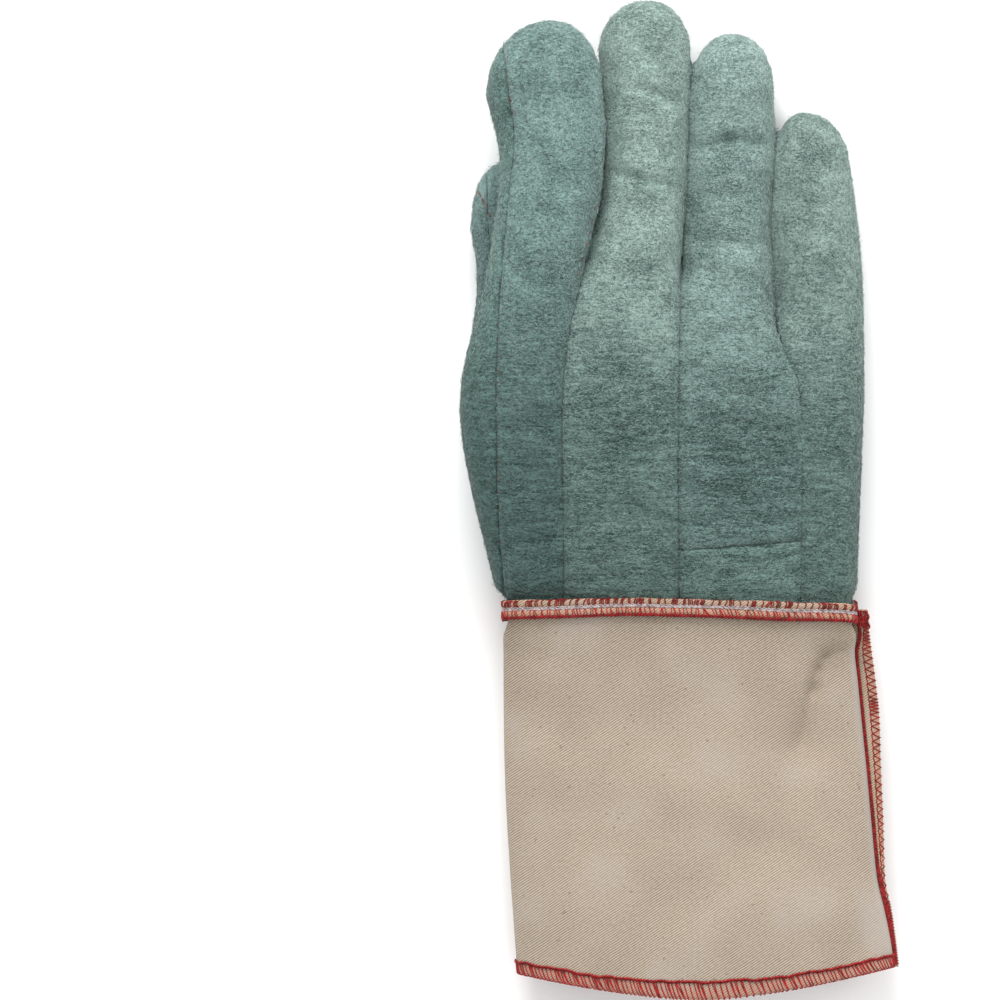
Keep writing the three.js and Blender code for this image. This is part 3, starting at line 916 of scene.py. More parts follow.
@dataclass
class Gauntlet:
    """The cuff with its hem, its wrist band and its side seam."""

    form: CuffForm = field(default_factory=CuffForm)
    drill: float = 1.6  # the cloth's thickness
    round_points: int = 280  # how many points a loop of cloth has
    row_step: float = 1.7  # the distance between the sleeve's loops
    dense: int = 2600  # how many points a loop for threads has
    hem_line: float = 3.9  # how far above the edge the hem's sewn line runs
    hem_widening: float = 1.6  # how much further it runs in the middle
    hem_drops: tuple[float, ...] = (1.0, 0.75, 0.5, 0.25, 0.04)  # the threads' lanes, from line to edge
    hem_proud: float = 0.14  # how far the threads stand off the cloth
    hem_pairs: float = 0.35  # the share of the threads that have a partner
    hem_pitch: float = 1.3  # the usual distance from thread to thread
    hem_lean: Span = (0.9, 1.5)  # how far along the edge a thread leans, least and most
    partner_lean: Span = (0.35, 0.8)  # how much further its partner leans
    hem_lint: float = 0.7
    band_from: float = -2.9  # the wrist band's lower edge
    band_to: float = 3.1  # the wrist band's upper edge
    band_thick: float = 1.7
    lower_lanes: tuple[float, ...] = (-3.1, -2.5, -1.9, -1.2, -0.5)  # levels that the lower threads cross
    lower_lean: Span = (-7, 5)  # their usual lean and its spread, in columns of a loop
    lower_gap: Span = (7, 14)  # the columns from one to the next, least and most
    upper_lanes: tuple[float, ...] = (0.8, 1.5, 2.1, 2.7, 3.2)  # levels that the upper threads cross
    upper_lean: Span = (4, 3)
    upper_gap: Span = (16, 26)
    strand_gap: float = 5.2  # the columns between the strands of one upper thread
    chain_level: float = 0.2  # the level of the white chain
    groove_deep: float = 0.55
    groove_wide: float = 0.9
    band_rise: Table = Table(
        "x high low",
        [
            [-58, -0.1, 0.5],
            [-34, 0.6, 1.3],
            [-12, 0.9, 1.8],
            [7, 0.45, 1.4],
            [33, -0.2, 0.4],
            [53, -1.0, -0.2],
            [59, -1.5, -0.9],
        ],
    )

    def build(self) -> None:
        """Builds and dresses every piece of the cuff."""
        side = SideSeam(self.form)
        allowance = CottonDrill("allowance_drill", ridge=srgb(196, 178, 154), furrow=srgb(108, 88, 72))
        cuff = self.sleeve(CottonDrill().material())
        band = self.wrist_band(allowance.material())
        seam = side.build(allowance.material())
        threads = self.hem_threads() + self.band_threads() + side.threads()

    def sleeve(self, material: bpy.types.Material) -> bpy.types.Object:
        """Builds the sleeve: an outer face, a rounded hem, an inner face and a rounded wrist end."""
        half = self.drill / 2
        levels = np.arange(-SEAM_GAP / 2 - half, self.form.hem + half, -self.row_step)
        bend = np.linspace(0, math.pi, 6)[1:-1]
        hem = [(self.form.hem + half - half * math.sin(t), half * (math.cos(t) - 1)) for t in bend]
        wrist = [(-SEAM_GAP / 2 - half + half * math.sin(t), -half * (1 + math.cos(t))) for t in bend]
        profile = [(y, 0.0) for y in levels] + hem + [(y, -self.drill) for y in levels[::-1]] + wrist
        loops = [self.form.loop(y, grow, self.round_points) for y, grow in profile]
        piece = ring_of_loops("gauntlet_cuff", loops)
        face_outwards(piece)
        depths = -np.array([y for y, _ in profile])
        sewn = smoothstep(depths, -self.form.hem - self.hem_line - 1.2, -self.form.hem - 2.8)
        mark(piece, LINT, np.repeat(self.hem_lint * sewn, self.round_points))
        # marks where painted light, and about the lower corner wear, pale the twill
        mark(piece, ROLL_LIGHT_AND_WEAR, self.painted_light_and_wear(PLACE.pattern(points_of(piece))))
        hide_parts("cuff")
        return dress(piece, material, Slot.DRILL)

    def painted_light_and_wear(self, local: np.ndarray) -> np.ndarray:
        """Says how far the twill is painted paler and greyer: painted light along the roll on its right, and
        rubbed wear with painted light about its lower right corner.

        Args:
            local: places on the sleeve.

        Returns:
            0 to 1 for each of them.
        """
        inward = local[:, 0] - self.form.table.column("right", local[:, 1])
        roll = smoothstep(inward, -2.8, -1.0) * smoothstep(-local[:, 1], 8, 16)
        away = np.hypot((inward + 4) / 10, (local[:, 1] + 104) / 16)
        corner = 1 - smoothstep(away, 0.3, 1.0)
        return np.clip(0.85 * roll + 0.65 * corner, 0, 1) * (local[:, 2] > 6)

    def wrist_band(self, material: bpy.types.Material) -> bpy.types.Object:
        """Builds the exposed seam allowance, with a groove where the chain stitch pulls it in."""
        middle = (self.band_from + self.band_to) / 2
        half = (self.band_to - self.band_from) / 2
        profile = []
        for share in np.linspace(-1, 1, 12):
            level = middle - half * share
            rounding = 0.5 * abs(share) ** 6
            profile.append((level, SEAM_GAP + self.band_thick - self.groove(level) - rounding))
        profile += [(level, SEAM_GAP) for level in (self.band_from + 0.2, middle, self.band_to - 0.2)]
        wave = Ripple(high=0.16, long=9, seed=11)
        loops = []
        for level, grow in profile:
            loop = self.band_loop(level, grow, self.round_points)
            loop[:, 1] += wave.height(loop) * abs(level - middle) / half
            loops.append(loop)
        piece = ring_of_loops("wrist_allowance", loops)
        face_outwards(piece)
        lint = [0.5 if level < self.chain_level else 0.15 for level, _ in profile]
        mark(piece, LINT, np.repeat(lint, self.round_points))
        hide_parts("wrist_band")
        return dress(piece, material, Slot.OVERLOCKED)

    def band_loop(self, level: float, grow: float, count: int) -> np.ndarray:
        """Places points round the wrist band, which bows over the back of the hand.

        Args:
            level: their height in the band, from the wrist seam.
            grow: distance outside the cuff's outer face.
            count: how many points.

        Returns:
            The points, a row each.
        """
        loop = self.form.loop(level, grow, count)
        lowness = np.clip((self.band_to - level) / (self.band_to - self.band_from), 0, 1)
        high = self.band_rise.column("high", loop[:, 0])
        low = self.band_rise.column("low", loop[:, 0])
        loop[:, 1] += (high + (low - high) * lowness) * smoothstep(loop[:, 2], 8, 20)
        return loop

    def groove(self, level: float) -> float:
        """Says how deep the chain stitch pulls the wrist band in at a level."""
        return self.groove_deep * math.exp(-(((level - self.chain_level) / self.groove_wide) ** 2))

    def hem_loops(self) -> np.ndarray:
        """Places the loops that the hem's threads cross, down the outer face, round the edge and up inside.

        Returns:
            The loops' points, the outermost loop first.
        """
        hem = self.form.hem
        outside = [(hem + 0.1 + self.hem_line * drop, self.hem_proud) for drop in self.hem_drops]
        edge = [(hem - 0.12, -0.35), (hem - 0.12, -1.25)]
        inside = [(level, -self.drill - self.hem_proud) for level, _ in outside[::-1]]
        steps = outside + edge + inside
        loops = np.array([self.form.loop(level, grow, self.dense) for level, grow in steps])
        scallop = Ripple(high=0.28, long=7, seed=13)
        shares = [*self.hem_drops, 0.0, 0.0, *self.hem_drops[::-1]]
        for loop, share in zip(loops, shares):
            widened = self.hem_widening * np.exp(-(((loop[:, 0] - 8) / 24) ** 2))
            loop[:, 1] += (widened + scallop.height(loop)) * share
        return loops

    def hem_threads(self) -> list[bpy.types.Object]:
        """Sews the hem: a line above it and threads that run over its edge, bunched here and there."""
        chance = np.random.default_rng(21)
        threads = ThreadWork("hem_overlock", BRIGHT_RED_THREAD, Slot.DRILL, radius=0.2)
        lines = ThreadWork("hem_chain", DARK_RED_THREAD, Slot.DRILL, radius=0.26)
        loops = self.hem_loops()
        lanes = len(self.hem_drops)
        shares = np.concatenate([np.linspace(0, 1, lanes), [1, 1], np.linspace(1, 0, lanes)]) ** 1.3
        length = float(np.linalg.norm(np.diff(loops[0], axis=0), axis=1).sum())
        unit = self.dense / length
        at = 0.0
        while at < length - 0.5:
            heading = -1 if at < length / 2 else 1
            lean = chance.uniform(*self.hem_lean) * heading
            stitch_across(threads, loops, round(at * unit), lean * unit * shares, chance.uniform(0.8, 1.25))
            if chance.uniform() < self.hem_pairs:
                partner = lean + chance.uniform(*self.partner_lean) * heading
                foot = round((at + lean - partner) * unit)
                stitch_across(threads, loops, foot, partner * unit * shares, chance.uniform(0.8, 1.1))
            sparse = 0.5 * math.exp(-(((at - 56) / 20) ** 2)) - 0.3 * math.exp(-((at / 14) ** 2))
            at += (self.hem_pitch + sparse) * chance.uniform(0.75, 1.25)
        for line, side in ((loops[0], 1.0), (loops[-1], -1.0)):
            closed = np.vstack([line, line[:1]])[::4]
            outward = outward_of(closed) * side
            sideways = np.tile([0.0, 1.0, 0.0], (len(closed), 1))
            lines.braid(closed, outward, sideways, wide=0.42, pitch=2.3)
            threads.run(closed + outward * 0.35 + sideways * 0.2, thick=1.15)
        return [threads.made(), lines.made()]

    def band_lanes(self, levels: Sequence[float], proud: float) -> np.ndarray:
        """Places the loops that a row of the wrist band's threads crosses.

        Args:
            levels: the loops' levels in the band.
            proud: how far they stand outside the cuff's face, before the groove.

        Returns:
            The loops' points.
        """
        return np.array([self.band_loop(level, proud - self.groove(level), self.dense) for level in levels])

    def band_threads(self) -> list[bpy.types.Object]:
        """Sews the wrist band: two rows of red threads, a red chain below and a white one between."""
        chance = np.random.default_rng(33)
        proud = SEAM_GAP + self.band_thick + 0.1
        red = ThreadWork("wrist_overlock", BRIGHT_RED_THREAD, Slot.OVERLOCKED, radius=0.18)
        chain = ThreadWork("wrist_chain", DARK_RED_THREAD, Slot.OVERLOCKED, radius=0.3)
        lower = self.band_lanes(self.lower_lanes, proud)
        tucked = self.band_loop(self.upper_lanes[-1], proud - 0.9, self.dense)
        upper = np.array([*self.band_lanes(self.upper_lanes[:-1], proud), tucked])
        shares = np.linspace(0, 1, 5)
        at = 0.0
        while at < self.dense:
            lean = chance.normal(*self.lower_lean) * (-1 if at < self.dense / 2 else 1)
            stitch_across(red, lower, at, lean * shares, chance.uniform(0.7, 1.2))
            at += chance.uniform(*self.lower_gap)
        at = 0.0
        while at < self.dense:
            lean = chance.normal(*self.upper_lean) * (-1 if at < self.dense / 2 else 1)
            for strand in range(int(chance.integers(1, 4))):
                start = at + self.strand_gap * strand
                stitch_across(chain, upper, start, lean * shares, chance.uniform(0.55, 0.75))
            at += chance.uniform(*self.upper_gap)
        white = ThreadWork("wrist_white_chain", WHITE_THREAD, Slot.OVERLOCKED, radius=0.2)
        self.chain_round(chain, self.lower_lanes[0], proud - 0.5, wide=0.34, pitch=2.3, sway=0.2)
        for level, wide in ((self.chain_level + 0.1, 0.36), (self.chain_level - 0.32, 0.2)):
            self.chain_round(white, level, proud - self.groove(level) + 0.1, wide, pitch=3.1, sway=0.44)
        return [red.made(), chain.made(), white.made()]

    def chain_round(
        self, work: ThreadWork, level: float, proud: float, wide: float, pitch: float, sway: float
    ) -> None:
        """Sews a chain stitch once round the wrist.

        Args:
            work: the thread that it is sewn with.
            level: where it runs.
            proud: how far it stands outside the cuff's face.
            wide: how far its strands swing.
            pitch: the length of a stitch.
            sway: how far the line wanders.
        """
        line = self.band_loop(level, proud, 640)
        line[:, 1] += Ripple(high=sway, long=30, seed=17).height(line)
        closed = np.vstack([line, line[:1]])
        work.braid(closed, outward_of(closed), np.tile([0.0, 1.0, 0.0], (len(closed), 1)), wide, pitch)


def stitch_across(
    work: ThreadWork, loops: np.ndarray, start: float, leans: np.ndarray, thick: float
) -> None:
    """Sews one thread across loops that run side by side.

    Args:
        work: the thread that it is sewn with.
        loops: the loops that it crosses, in order.
        start: its column in the first loop.
        leans: how many columns further it is in each loop.
        thick: how thick it is.
    """
    columns = (start + np.round(leans)).astype(int) % loops.shape[1]
    work.run(loops[np.arange(len(loops)), columns], thick)


def outward_of(line: np.ndarray) -> np.ndarray:
    """Returns the outward direction at each point of a closed loop round the sleeve."""
    run = np.roll(line, -1, 0) - np.roll(line, 1, 0)
    run[0] = line[1] - line[0]
    run[-1] = line[-1] - line[-2]
    outward = np.stack([run[:, 2], np.zeros(len(run)), -run[:, 0]], axis=1)
    return outward / np.maximum(np.linalg.norm(outward, axis=1, keepdims=True), 1e-9)


@dataclass(frozen=True)
class SideSeam:
    """The overlocked allowance along the cuff on the little finger's side."""

    form: CuffForm
    top: float = 0.2
    bottom: float = -117.8
    thick: float = 2.6  # both plies
    lint: float = 0.6
    tack_from: float = -2.6
    tack_to: float = -5.4
    tack_pitch: float = 0.36
    tack_wide: float = 3.3
    edges: Table = Table(
        "y left right chain inner",
        [
            [0.2, 59.5, 62.4, 59.8, 61.2],
            [-4, 57.6, 62.7, 59.7, 61.3],
            [-9, 57.4, 63.2, 59.9, 61.2],
            [-14, 58.6, 63.9, 58.9, 61.0],
            [-24, 59.7, 65.2, 59.8, 62.4],
            [-36, 60.9, 66.4, 61.0, 63.6],
            [-52, 62.6, 66.9, 62.6, 64.8],
            [-68, 64.1, 67.6, 64.2, 65.9],
            [-82, 65.5, 68.0, 65.5, 66.8],
            [-90, 66.5, 68.4, 66.7, 67.5],
            [-99, 68.7, 70.3, 68.7, 69.5],
            [-109, 70.5, 71.7, 70.3, 71.0],
            [-125, 72.7, 73.6, 72.2, 72.9],
        ],
    )

    def middle(self, level: np.ndarray) -> np.ndarray:
        """Returns the height of the allowance's middle at each level."""
        under = np.maximum(self.form.table.column("under", level), 0)
        return (under + self.form.table.column("over", level)) / 2

    def build(self, material: bpy.types.Material) -> bpy.types.Object:
        """Builds the two plies as one strip with a groove between them along its free edge."""
        levels = np.linspace(self.top, self.bottom, 84)
        half = self.thick / 2
        ply = [(0, 1), (0.35, 1), (0.75, 0.98), (0.95, 0.85), (1.0, 0.5)]
        section = [(s, -t) for s, t in ply] + [(0.93, 0)] + ply[::-1] + [(0, 0)]
        wave = Ripple(high=0.14, long=8, seed=5)
        loops = []
        for y in levels:
            left = float(self.edges.column("left", y)) - 0.15
            right = float(self.edges.column("right", y))
            middle = float(self.middle(np.array(y)))
            loop = np.array([[left + (right - left) * s, y, middle + half * t] for s, t in section])
            loop[:, 2] += wave.height(loop) * (loop[:, 0] - left) / (right - left)
            loops.append(loop)
        count = len(section)
        rows = len(loops)
        index = np.arange(rows * count).reshape(rows, count)
        here = index[:-1]
        below = index[1:]
        corners = [here, below, np.roll(below, -1, 1), np.roll(here, -1, 1)]
        faces = np.stack(corners, 2).reshape(-1, 4).tolist()
        faces += [index[0][::-1].tolist(), index[-1].tolist()]
        stacked = np.array(loops).reshape(-1, 3)
        piece = mesh_piece("side_allowance", PLACE.metres(stacked), faces)
        face_outwards(piece)
        outwards = np.array([share for share, _ in section])
        mark(piece, LINT, np.tile(self.lint * smoothstep(outwards, 0.4, 0.6), rows))
        layer = piece.data.uv_layers.new(name="weave")
        used = np.empty(len(piece.data.loops), np.int32)
        piece.data.loops.foreach_get("vertex_index", used)
        layer.data.foreach_set("uv", (stacked[used][:, :2] * MM).astype(np.float32).ravel())
        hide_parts("cuff_side_seam")
        return dress(piece, material, Slot.OVERLOCKED)

    def lane(self, levels: np.ndarray, column: str, side: float, proud: float) -> np.ndarray:
        """Places points along the allowance.

        Args:
            levels: where along it.
            column: the edge or line that they follow.
            side: 1 for its upper face, -1 for its lower one.
            proud: how far they stand off the cloth.

        Returns:
            The points, a row each.
        """
        z = self.middle(levels) + side * (self.thick / 2 + proud)
        return np.stack([self.edges.column(column, levels), levels, z], axis=1)

    def threads(self) -> list[bpy.types.Object]:
        """Sews a heavy line by the sleeve, a fine line, and a zigzag over the free edge."""
        chance = np.random.default_rng(8)
        levels = np.arange(self.top - 0.4, self.bottom + 0.6, -0.4)
        heavy = ThreadWork("side_chain", RED_THREAD, Slot.OVERLOCKED, radius=0.35)
        light = ThreadWork("side_overlock", RED_THREAD, Slot.OVERLOCKED, radius=0.18)
        self.tack(heavy)
        sideways = np.tile([1.0, 0.0, 0.0], (len(levels), 1))
        for side in (1.0, -1.0):
            upward = np.tile([0.0, 0.0, side], (len(levels), 1))
            line = self.lane(levels, "chain", side, proud=0.1)
            heavy.braid(line, upward, sideways, wide=0.45, pitch=1.9)
            inner = self.lane(levels, "inner", side, proud=0.08)
            light.run(inner + sideways * (0.12 * np.sin(levels * 2.6))[:, None])
        at = self.top - 0.5
        while at > self.bottom + 1.2:
            pitch = self.zigzag_pitch(at) * chance.uniform(0.75, 1.2)
            for start, end in ((at, at - pitch / 2), (at - pitch / 2, at - pitch)):
                self.zigzag(light, start, end, start == at)
            at -= pitch
        return [heavy.made(), light.made()]

    @staticmethod
    def zigzag_pitch(level: float) -> float:
        """Says how long a zigzag is: short by the wrist, a quarter of the way down and by the hem."""
        by_wrist = math.exp(-(((level + 8) / 5) ** 2))
        lower = math.exp(-(((level + 31) / 5) ** 2))
        return 2.9 - 1.9 * max(lower, by_wrist, float(level < -93))

    def tack(self, work: ThreadWork) -> None:
        """Sews the bar of close threads that ends the seam at the wrist."""
        chance = np.random.default_rng(5)
        shares = np.linspace(0, 1, 6)
        for side in (1.0, -1.0):
            for level in np.arange(self.tack_from, self.tack_to, -self.tack_pitch):
                levels = level + chance.uniform(-0.5, 0.5) * (shares - 0.5)
                bar = self.lane(levels, "right", side, 0.2 + 0.35 * chance.uniform())
                bar[:, 0] -= (1 - shares) * min(3.9, self.tack_wide + 0.2 * abs(level))
                bar[:, 2] -= side * 0.7 * shares**8
                work.run(bar, chance.uniform(0.8, 1.2))
            for share in (0.1, 0.45, 0.8, 1.02):
                levels = np.linspace(-0.2, -6.0, 9)
                post = self.lane(levels, "right", side, 0.65)
                post[:, 0] -= (1 - share) * self.tack_wide + 0.3 * np.sin(levels * 2 + share * 9)
                work.run(post, 0.8)

    def zigzag(self, work: ThreadWork, start: float, end: float, outwards: bool) -> None:
        """Sews one leg of the zigzag, on the upper face, over the edge and on the lower face.

        Args:
            work: the thread that it is sewn with.
            start: the level that it starts at.
            end: the level that it ends at.
            outwards: whether the leg runs to the free edge on the upper face.
        """
        levels = np.linspace(start, end, 5)
        shares = np.linspace(0, 1, 5) if outwards else np.linspace(1, 0, 5)
        for side in (1.0, -1.0):
            inner = self.lane(levels, "inner", side, 0.1)
            outer = self.lane(levels, "right", side, 0.1)
            leg = inner + (outer - inner) * shares[:, None]
            leg[:, 2] -= side * 0.5 * np.maximum(shares - 0.8, 0) * 5
            leg[:, 0] += 0.12 * (shares > 0.9)
            work.run(leg)
        edge = self.lane(np.full(3, end if outwards else start), "right", 1.0, -0.4)
        edge[:, 0] += 0.14
        edge[:, 2] = self.middle(edge[:, 1]) + np.array([0.9, 0.0, -0.9])
        work.run(edge)


# The hand


@dataclass(frozen=True)
class Panel:
    """One cut piece of the hand and the size it was cut to, in millimetres."""

    node: str
    name: str
    wide: float
    long: float
    cut: float
    tone: Colour
    tone_patches: tuple[TonePatch, ...] = ()


@dataclass(frozen=True)
class Row:
    """A row of running stitches along a seam or a line of quilting."""

    side: Side
    line: Line
    stitch: float = 2.4  # the usual length of a stitch
    gap: float = 1.3  # the usual distance between two stitches
    sunk: float = 0.0  # how deep in the cloth the stitches lie
    bold: float = 1.0  # how much thicker the thread is


THUMB_TONE = (0.48, 0.56, 0.59)
THUMB_TIP = TonePatch(-66, 146, 16, -0.35)


@dataclass
class Hand:
    """The napped hand: its panels, the creases in them, the stitches along them and the nap."""

    # the tones are darker on the index finger's side, the palm and the thumb: partly the cloth's own tone,
    # partly painted shade on the side away from the light
    panels: tuple[Panel, ...] = (
        Panel("palm", "palm_panel", 172, 204, 28600, (0.53, 0.64, 0.63), (TonePatch(-61, 166, 18, 0.25),)),
        Panel("index_back", "index_strip", 37, 196, 6000, (0.61, 0.69, 0.7), (TonePatch(-43, 180, 16, 0.07),)),
        Panel(
            "middle_back", "middle_strip", 49, 203, 8500, (0.9, 0.91, 0.9),
            (TonePatch(-18, 66, 26, 0.16), TonePatch(-10, 92, 14, -0.16), TonePatch(-24, 160, 10, 0.12)),
        ),
        Panel(
            "ring_back", "ring_strip", 50, 171, 7400, (0.88, 0.9, 0.91),
            (TonePatch(17, 140, 24, 0.2), TonePatch(22, 54, 32, 0.18), TonePatch(18, 92, 18, -0.1)),
        ),
        Panel("ring_back_lower", "ring_strip_piecing", 42, 23, 960, (0.97, 1.0, 0.99)),
        Panel("little_back", "little_strip", 50, 165, 7400, (0.83, 0.84, 0.83), (TonePatch(45, 152, 9, 0.16),)),
        Panel("thumb_back", "thumb_back_panel", 33, 79, 2000, THUMB_TONE, (THUMB_TIP,)),
        Panel("thumb_front", "thumb_front_panel", 52, 129, 5600, THUMB_TONE, (THUMB_TIP,)),
    )
    weld: float = 0.005  # how close corners of a solid are made one
    voxel: float = 1.25  # the size of the faces
    relax_rounds: int = 16
    relax_steps: tuple[float, ...] = (0.5, -0.52)  # a step of smoothing, and one back that keeps the size
    let_out_rounds: int = 20
    sharp: float = math.radians(50)  # the angle from which an edge of a solid is a cut edge
    swell: float = 0.22  # how far the cloth stands outside the solid's face
    reach: float = 2.4  # how far a gap is looked across
    creases: tuple[Furrow, ...] = (
        Furrow((-13, 172.5), (1, 166.5), 1.9, 1.9),
        Furrow((-22, 144.5), (0, 139), 1.9, 1.7),
        Furrow((-20, 132), (-6, 130), 3.0, 0.7),
        Furrow((7, 152), (17, 155.5), 1.8, 1.9),
        Furrow((17, 155.5), (29, 154), 1.8, 1.9),
        Furrow((5, 122), (29, 120.5), 2.0, 1.9),
        Furrow((8, 136), (22, 138), 2.2, 0.8),
        Furrow((34, 151.5), (44, 153), 2.0, 0.9),
        Furrow((33, 128), (46, 124), 3.0, 0.5),
        Furrow((-52, 141), (-36, 138), 3.2, 0.5),
        Furrow((-50, 168), (-40, 170), 3.2, 0.4),
        Furrow((-20, 108), (-8, 112), 4.0, 0.7),
        Furrow((-26, 77), (-12, 80), 5.0, 0.7),
        Furrow((6, 92), (26, 88), 5.0, 0.8),
        Furrow((10, 78), (30, 70), 5.0, 0.9),
        Furrow((8, 62), (30, 60), 3.2, 0.6),
        Furrow((6, 50), (34, 48), 2.8, 0.5),
        Furrow((6, 38), (36, 39), 2.4, 0.5),
        Furrow((6, 29), (36, 30), 2.2, 0.6),
        Furrow((-32, 34), (-10, 30), 5.0, 0.4),
        Furrow((44, 60), (56, 40), 6.0, 0.5),
        Furrow((-56, 96), (-44, 92), 5.0, 0.5),
        Furrow((20, 21.0), (40, 23.6), 1.2, 0.8),
        Furrow((-67.4, 90), (-67.8, 72), 1.6, 1.0),
        Furrow((-67.8, 72), (-64, 41), 1.6, 1.1),
        Furrow((-64, 41), (-60.7, 22), 1.6, 0.9),
    )
    partings: tuple[Line, ...] = (
        (
            (-33.2, 106), (-30, 120), (-26.6, 132), (-25, 145),
            (-24.4, 153), (-24.3, 161), (-25.4, 174), (-26.8, 190),
        ),
        (
            (0.4, 106), (0.8, 120), (1.6, 132), (2.2, 145),
            (2.4, 153), (2.8, 161), (3.6, 174), (4, 190),
        ),
        (
            (32.3, 95), (31.6, 106), (30.4, 120), (30.2, 132),
            (31.2, 145), (31.6, 153), (31.8, 161),
        ),
    )
    snug: float = 0.55  # how far the sides of two fingers are brought together
    snug_wide: float = 1.7  # how far from the line between them
    seams: tuple[Line, ...] = (
        (
            (-25, 145), (-26.6, 132), (-30, 120), (-33.2, 106),
            (-37.4, 83), (-38.6, 60), (-38, 20), (-38, 0),
        ),
        (
            (2.2, 145), (0.8, 120), (0.4, 106), (0, 83),
            (-0.3, 50), (0, 20), (0.2, 0),
        ),
        (
            (30.4, 120), (31.6, 106), (32.3, 95), (35.4, 83),
            (39.6, 75), (40.7, 60), (40.4, 20), (40.2, 0),
        ),
        (
            (-56.4, 173), (-54.1, 156), (-56, 135), (-58.4, 110),
            (-60, 80), (-60, 60), (-59.4, 30), (-57, 3),
        ),
    )
    seam_wide: float = 2.1  # the width of a seam's valley
    seam_deeps: tuple[float, ...] = (1.1, 1.1, 1.1, 0.35)  # the depth of each seam's valley
    piecing_y: float = 21.3
    piecing_rise: Table = Table("x rise", [[-3, 0], [0.5, -1.6], [39.5, 1.3], [43, 0]])
    pile: Ripple = Ripple(high=0.32, long=17, seed=4)
    rubs: Ripple = Ripple(high=0.3, long=6, seed=12, waves=16)
    tufts: Ripple = Ripple(high=0.1, long=5.5, seed=9, waves=14)
    lap: float = 0.03  # how far past the middle of a gap the cloth is drawn
    floor_clearance: float = 0.02  # how high the lowest cloth lies

    def build(self) -> None:
        """Builds and dresses every piece of the hand."""
        made = [self.panel(cut) for cut in self.panels]
        self.draw_together(made)
        for cut, piece in zip(self.panels, made):
            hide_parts(cut.node)
            dress(piece, NappedCotton(cut.name + "_nap", cut.tone, cut.tone_patches).material(), Slot.NAP)
        cloth = Cloth(made)
        SeamStitches(cloth).build()
        Nap(cloth, [sum(cut.tone) / 3 for cut in self.panels]).build()

    def panel(self, cut: Panel) -> bpy.types.Object:
        """Shapes one panel from its solid: even faces, soft edges, then its creases and valleys.

        Args:
            cut: which panel.

        Returns:
            The shaped piece.
        """
        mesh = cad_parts[cut.node].data.copy()
        piece = bpy.data.objects.new(cut.name, mesh)
        bpy.context.scene.collection.objects.link(piece)
        activate(piece)
        bpy.ops.object.mode_set(mode="EDIT")
        bpy.ops.mesh.select_all(action="SELECT")
        bpy.ops.mesh.remove_doubles(threshold=self.weld * MM)
        bpy.ops.object.mode_set(mode="OBJECT")
        rims = self.rims(piece)
        faces = [tuple(face.vertices) for face in piece.data.polygons]
        solid = BVHTree.FromPolygons(PLACE.pattern(points_of(piece)).tolist(), faces)
        apply_modifier(piece, "REMESH", mode="VOXEL", voxel_size=self.voxel * MM, use_smooth_shade=True)
        self.relax(piece, rims, solid)
        self.press(piece)
        return piece

    def rims(self, piece: bpy.types.Object) -> KDTree:
        """Finds where a panel was cut, by its solid's sharp edges.

        Args:
            piece: the copy of the panel's solid.

        Returns:
            Places along the sharp edges, to be searched for the nearest one.
        """
        shape = bmesh.new()
        shape.from_mesh(piece.data)
        places = []
        for edge in shape.edges:
            if edge.calc_face_angle(0.0) > self.sharp:
                start, end = (corner.co for corner in edge.verts)
                steps = max(1, round(edge.calc_length() / MM))
                places += [start.lerp(end, k / steps) for k in range(steps + 1)]
        shape.free()
        tree = KDTree(len(places))
        for i, place in enumerate(places):
            tree.insert(place, i)
        tree.balance()
        return tree

    def relax(self, piece: bpy.types.Object, rims: KDTree, solid: BVHTree) -> None:
        """Smooths a panel so that its facets go, then lets it out again to where its solid was.

        Args:
            piece: the remeshed panel.
            rims: places along its cut edges, which are smoothed least.
            solid: the panel's solid in the pattern's millimetres.
        """
        places = PLACE.pattern(points_of(piece))
        away = np.array([rims.find(Vector(place))[2] for place in points_of(piece)]) / MM
        free = (0.1 + 0.9 * smoothstep(away, 1.2, 6.0))[:, None]
        around = Neighbours(piece)
        for step in self.relax_steps * self.relax_rounds:
            places = places + step * free * (around.mean(places) - places)
        set_points(piece, PLACE.metres(places))
        facing = normals_of(piece)
        nearest = np.array([solid.find_nearest(Vector(place))[0] for place in places])
        inset = np.einsum("ij,ij->i", nearest - places, facing)[:, None]
        for _ in range(self.let_out_rounds):
            inset = inset + free * (around.mean(inset) - inset)
        set_points(piece, PLACE.metres(places + facing * inset))

    def press(self, piece: bpy.types.Object) -> None:
        """Swells a panel a little, then presses the creases, valleys and partings into it.

        Args:
            piece: the smoothed panel.
        """
        facing = normals_of(piece)
        local = PLACE.pattern(points_of(piece)) + facing * self.swell
        self.slope_piecing(local)
        depth = sum(crease.depth(local[:, 0], local[:, 1]) for crease in self.creases)
        upper = np.abs(facing[:, 2]) * smoothstep(local[:, 2], 9, 20)
        local[:, 2] -= (depth + self.valleys(local)) * upper
        local[:, 2] += facing[:, 2] * self.unevenness(local, facing)
        local[:, 2] = np.maximum(local[:, 2], self.floor_clearance)
        for line in self.partings:
            self.part(local, line)
        set_points(piece, PLACE.metres(local))

    def slope_piecing(self, local: np.ndarray) -> None:
        """Slopes the piecing seam across the ring finger's strip, by moving the cloth near it.

        Args:
            local: the panel's corners, which are moved in place.
        """
        close = np.exp(-(((local[:, 1] - self.piecing_y) / 6) ** 2)) * smoothstep(local[:, 2], 12, 20)
        xs, rises = np.array(self.piecing_rise.rows).T
        local[:, 1] += np.interp(local[:, 0], xs, rises) * close

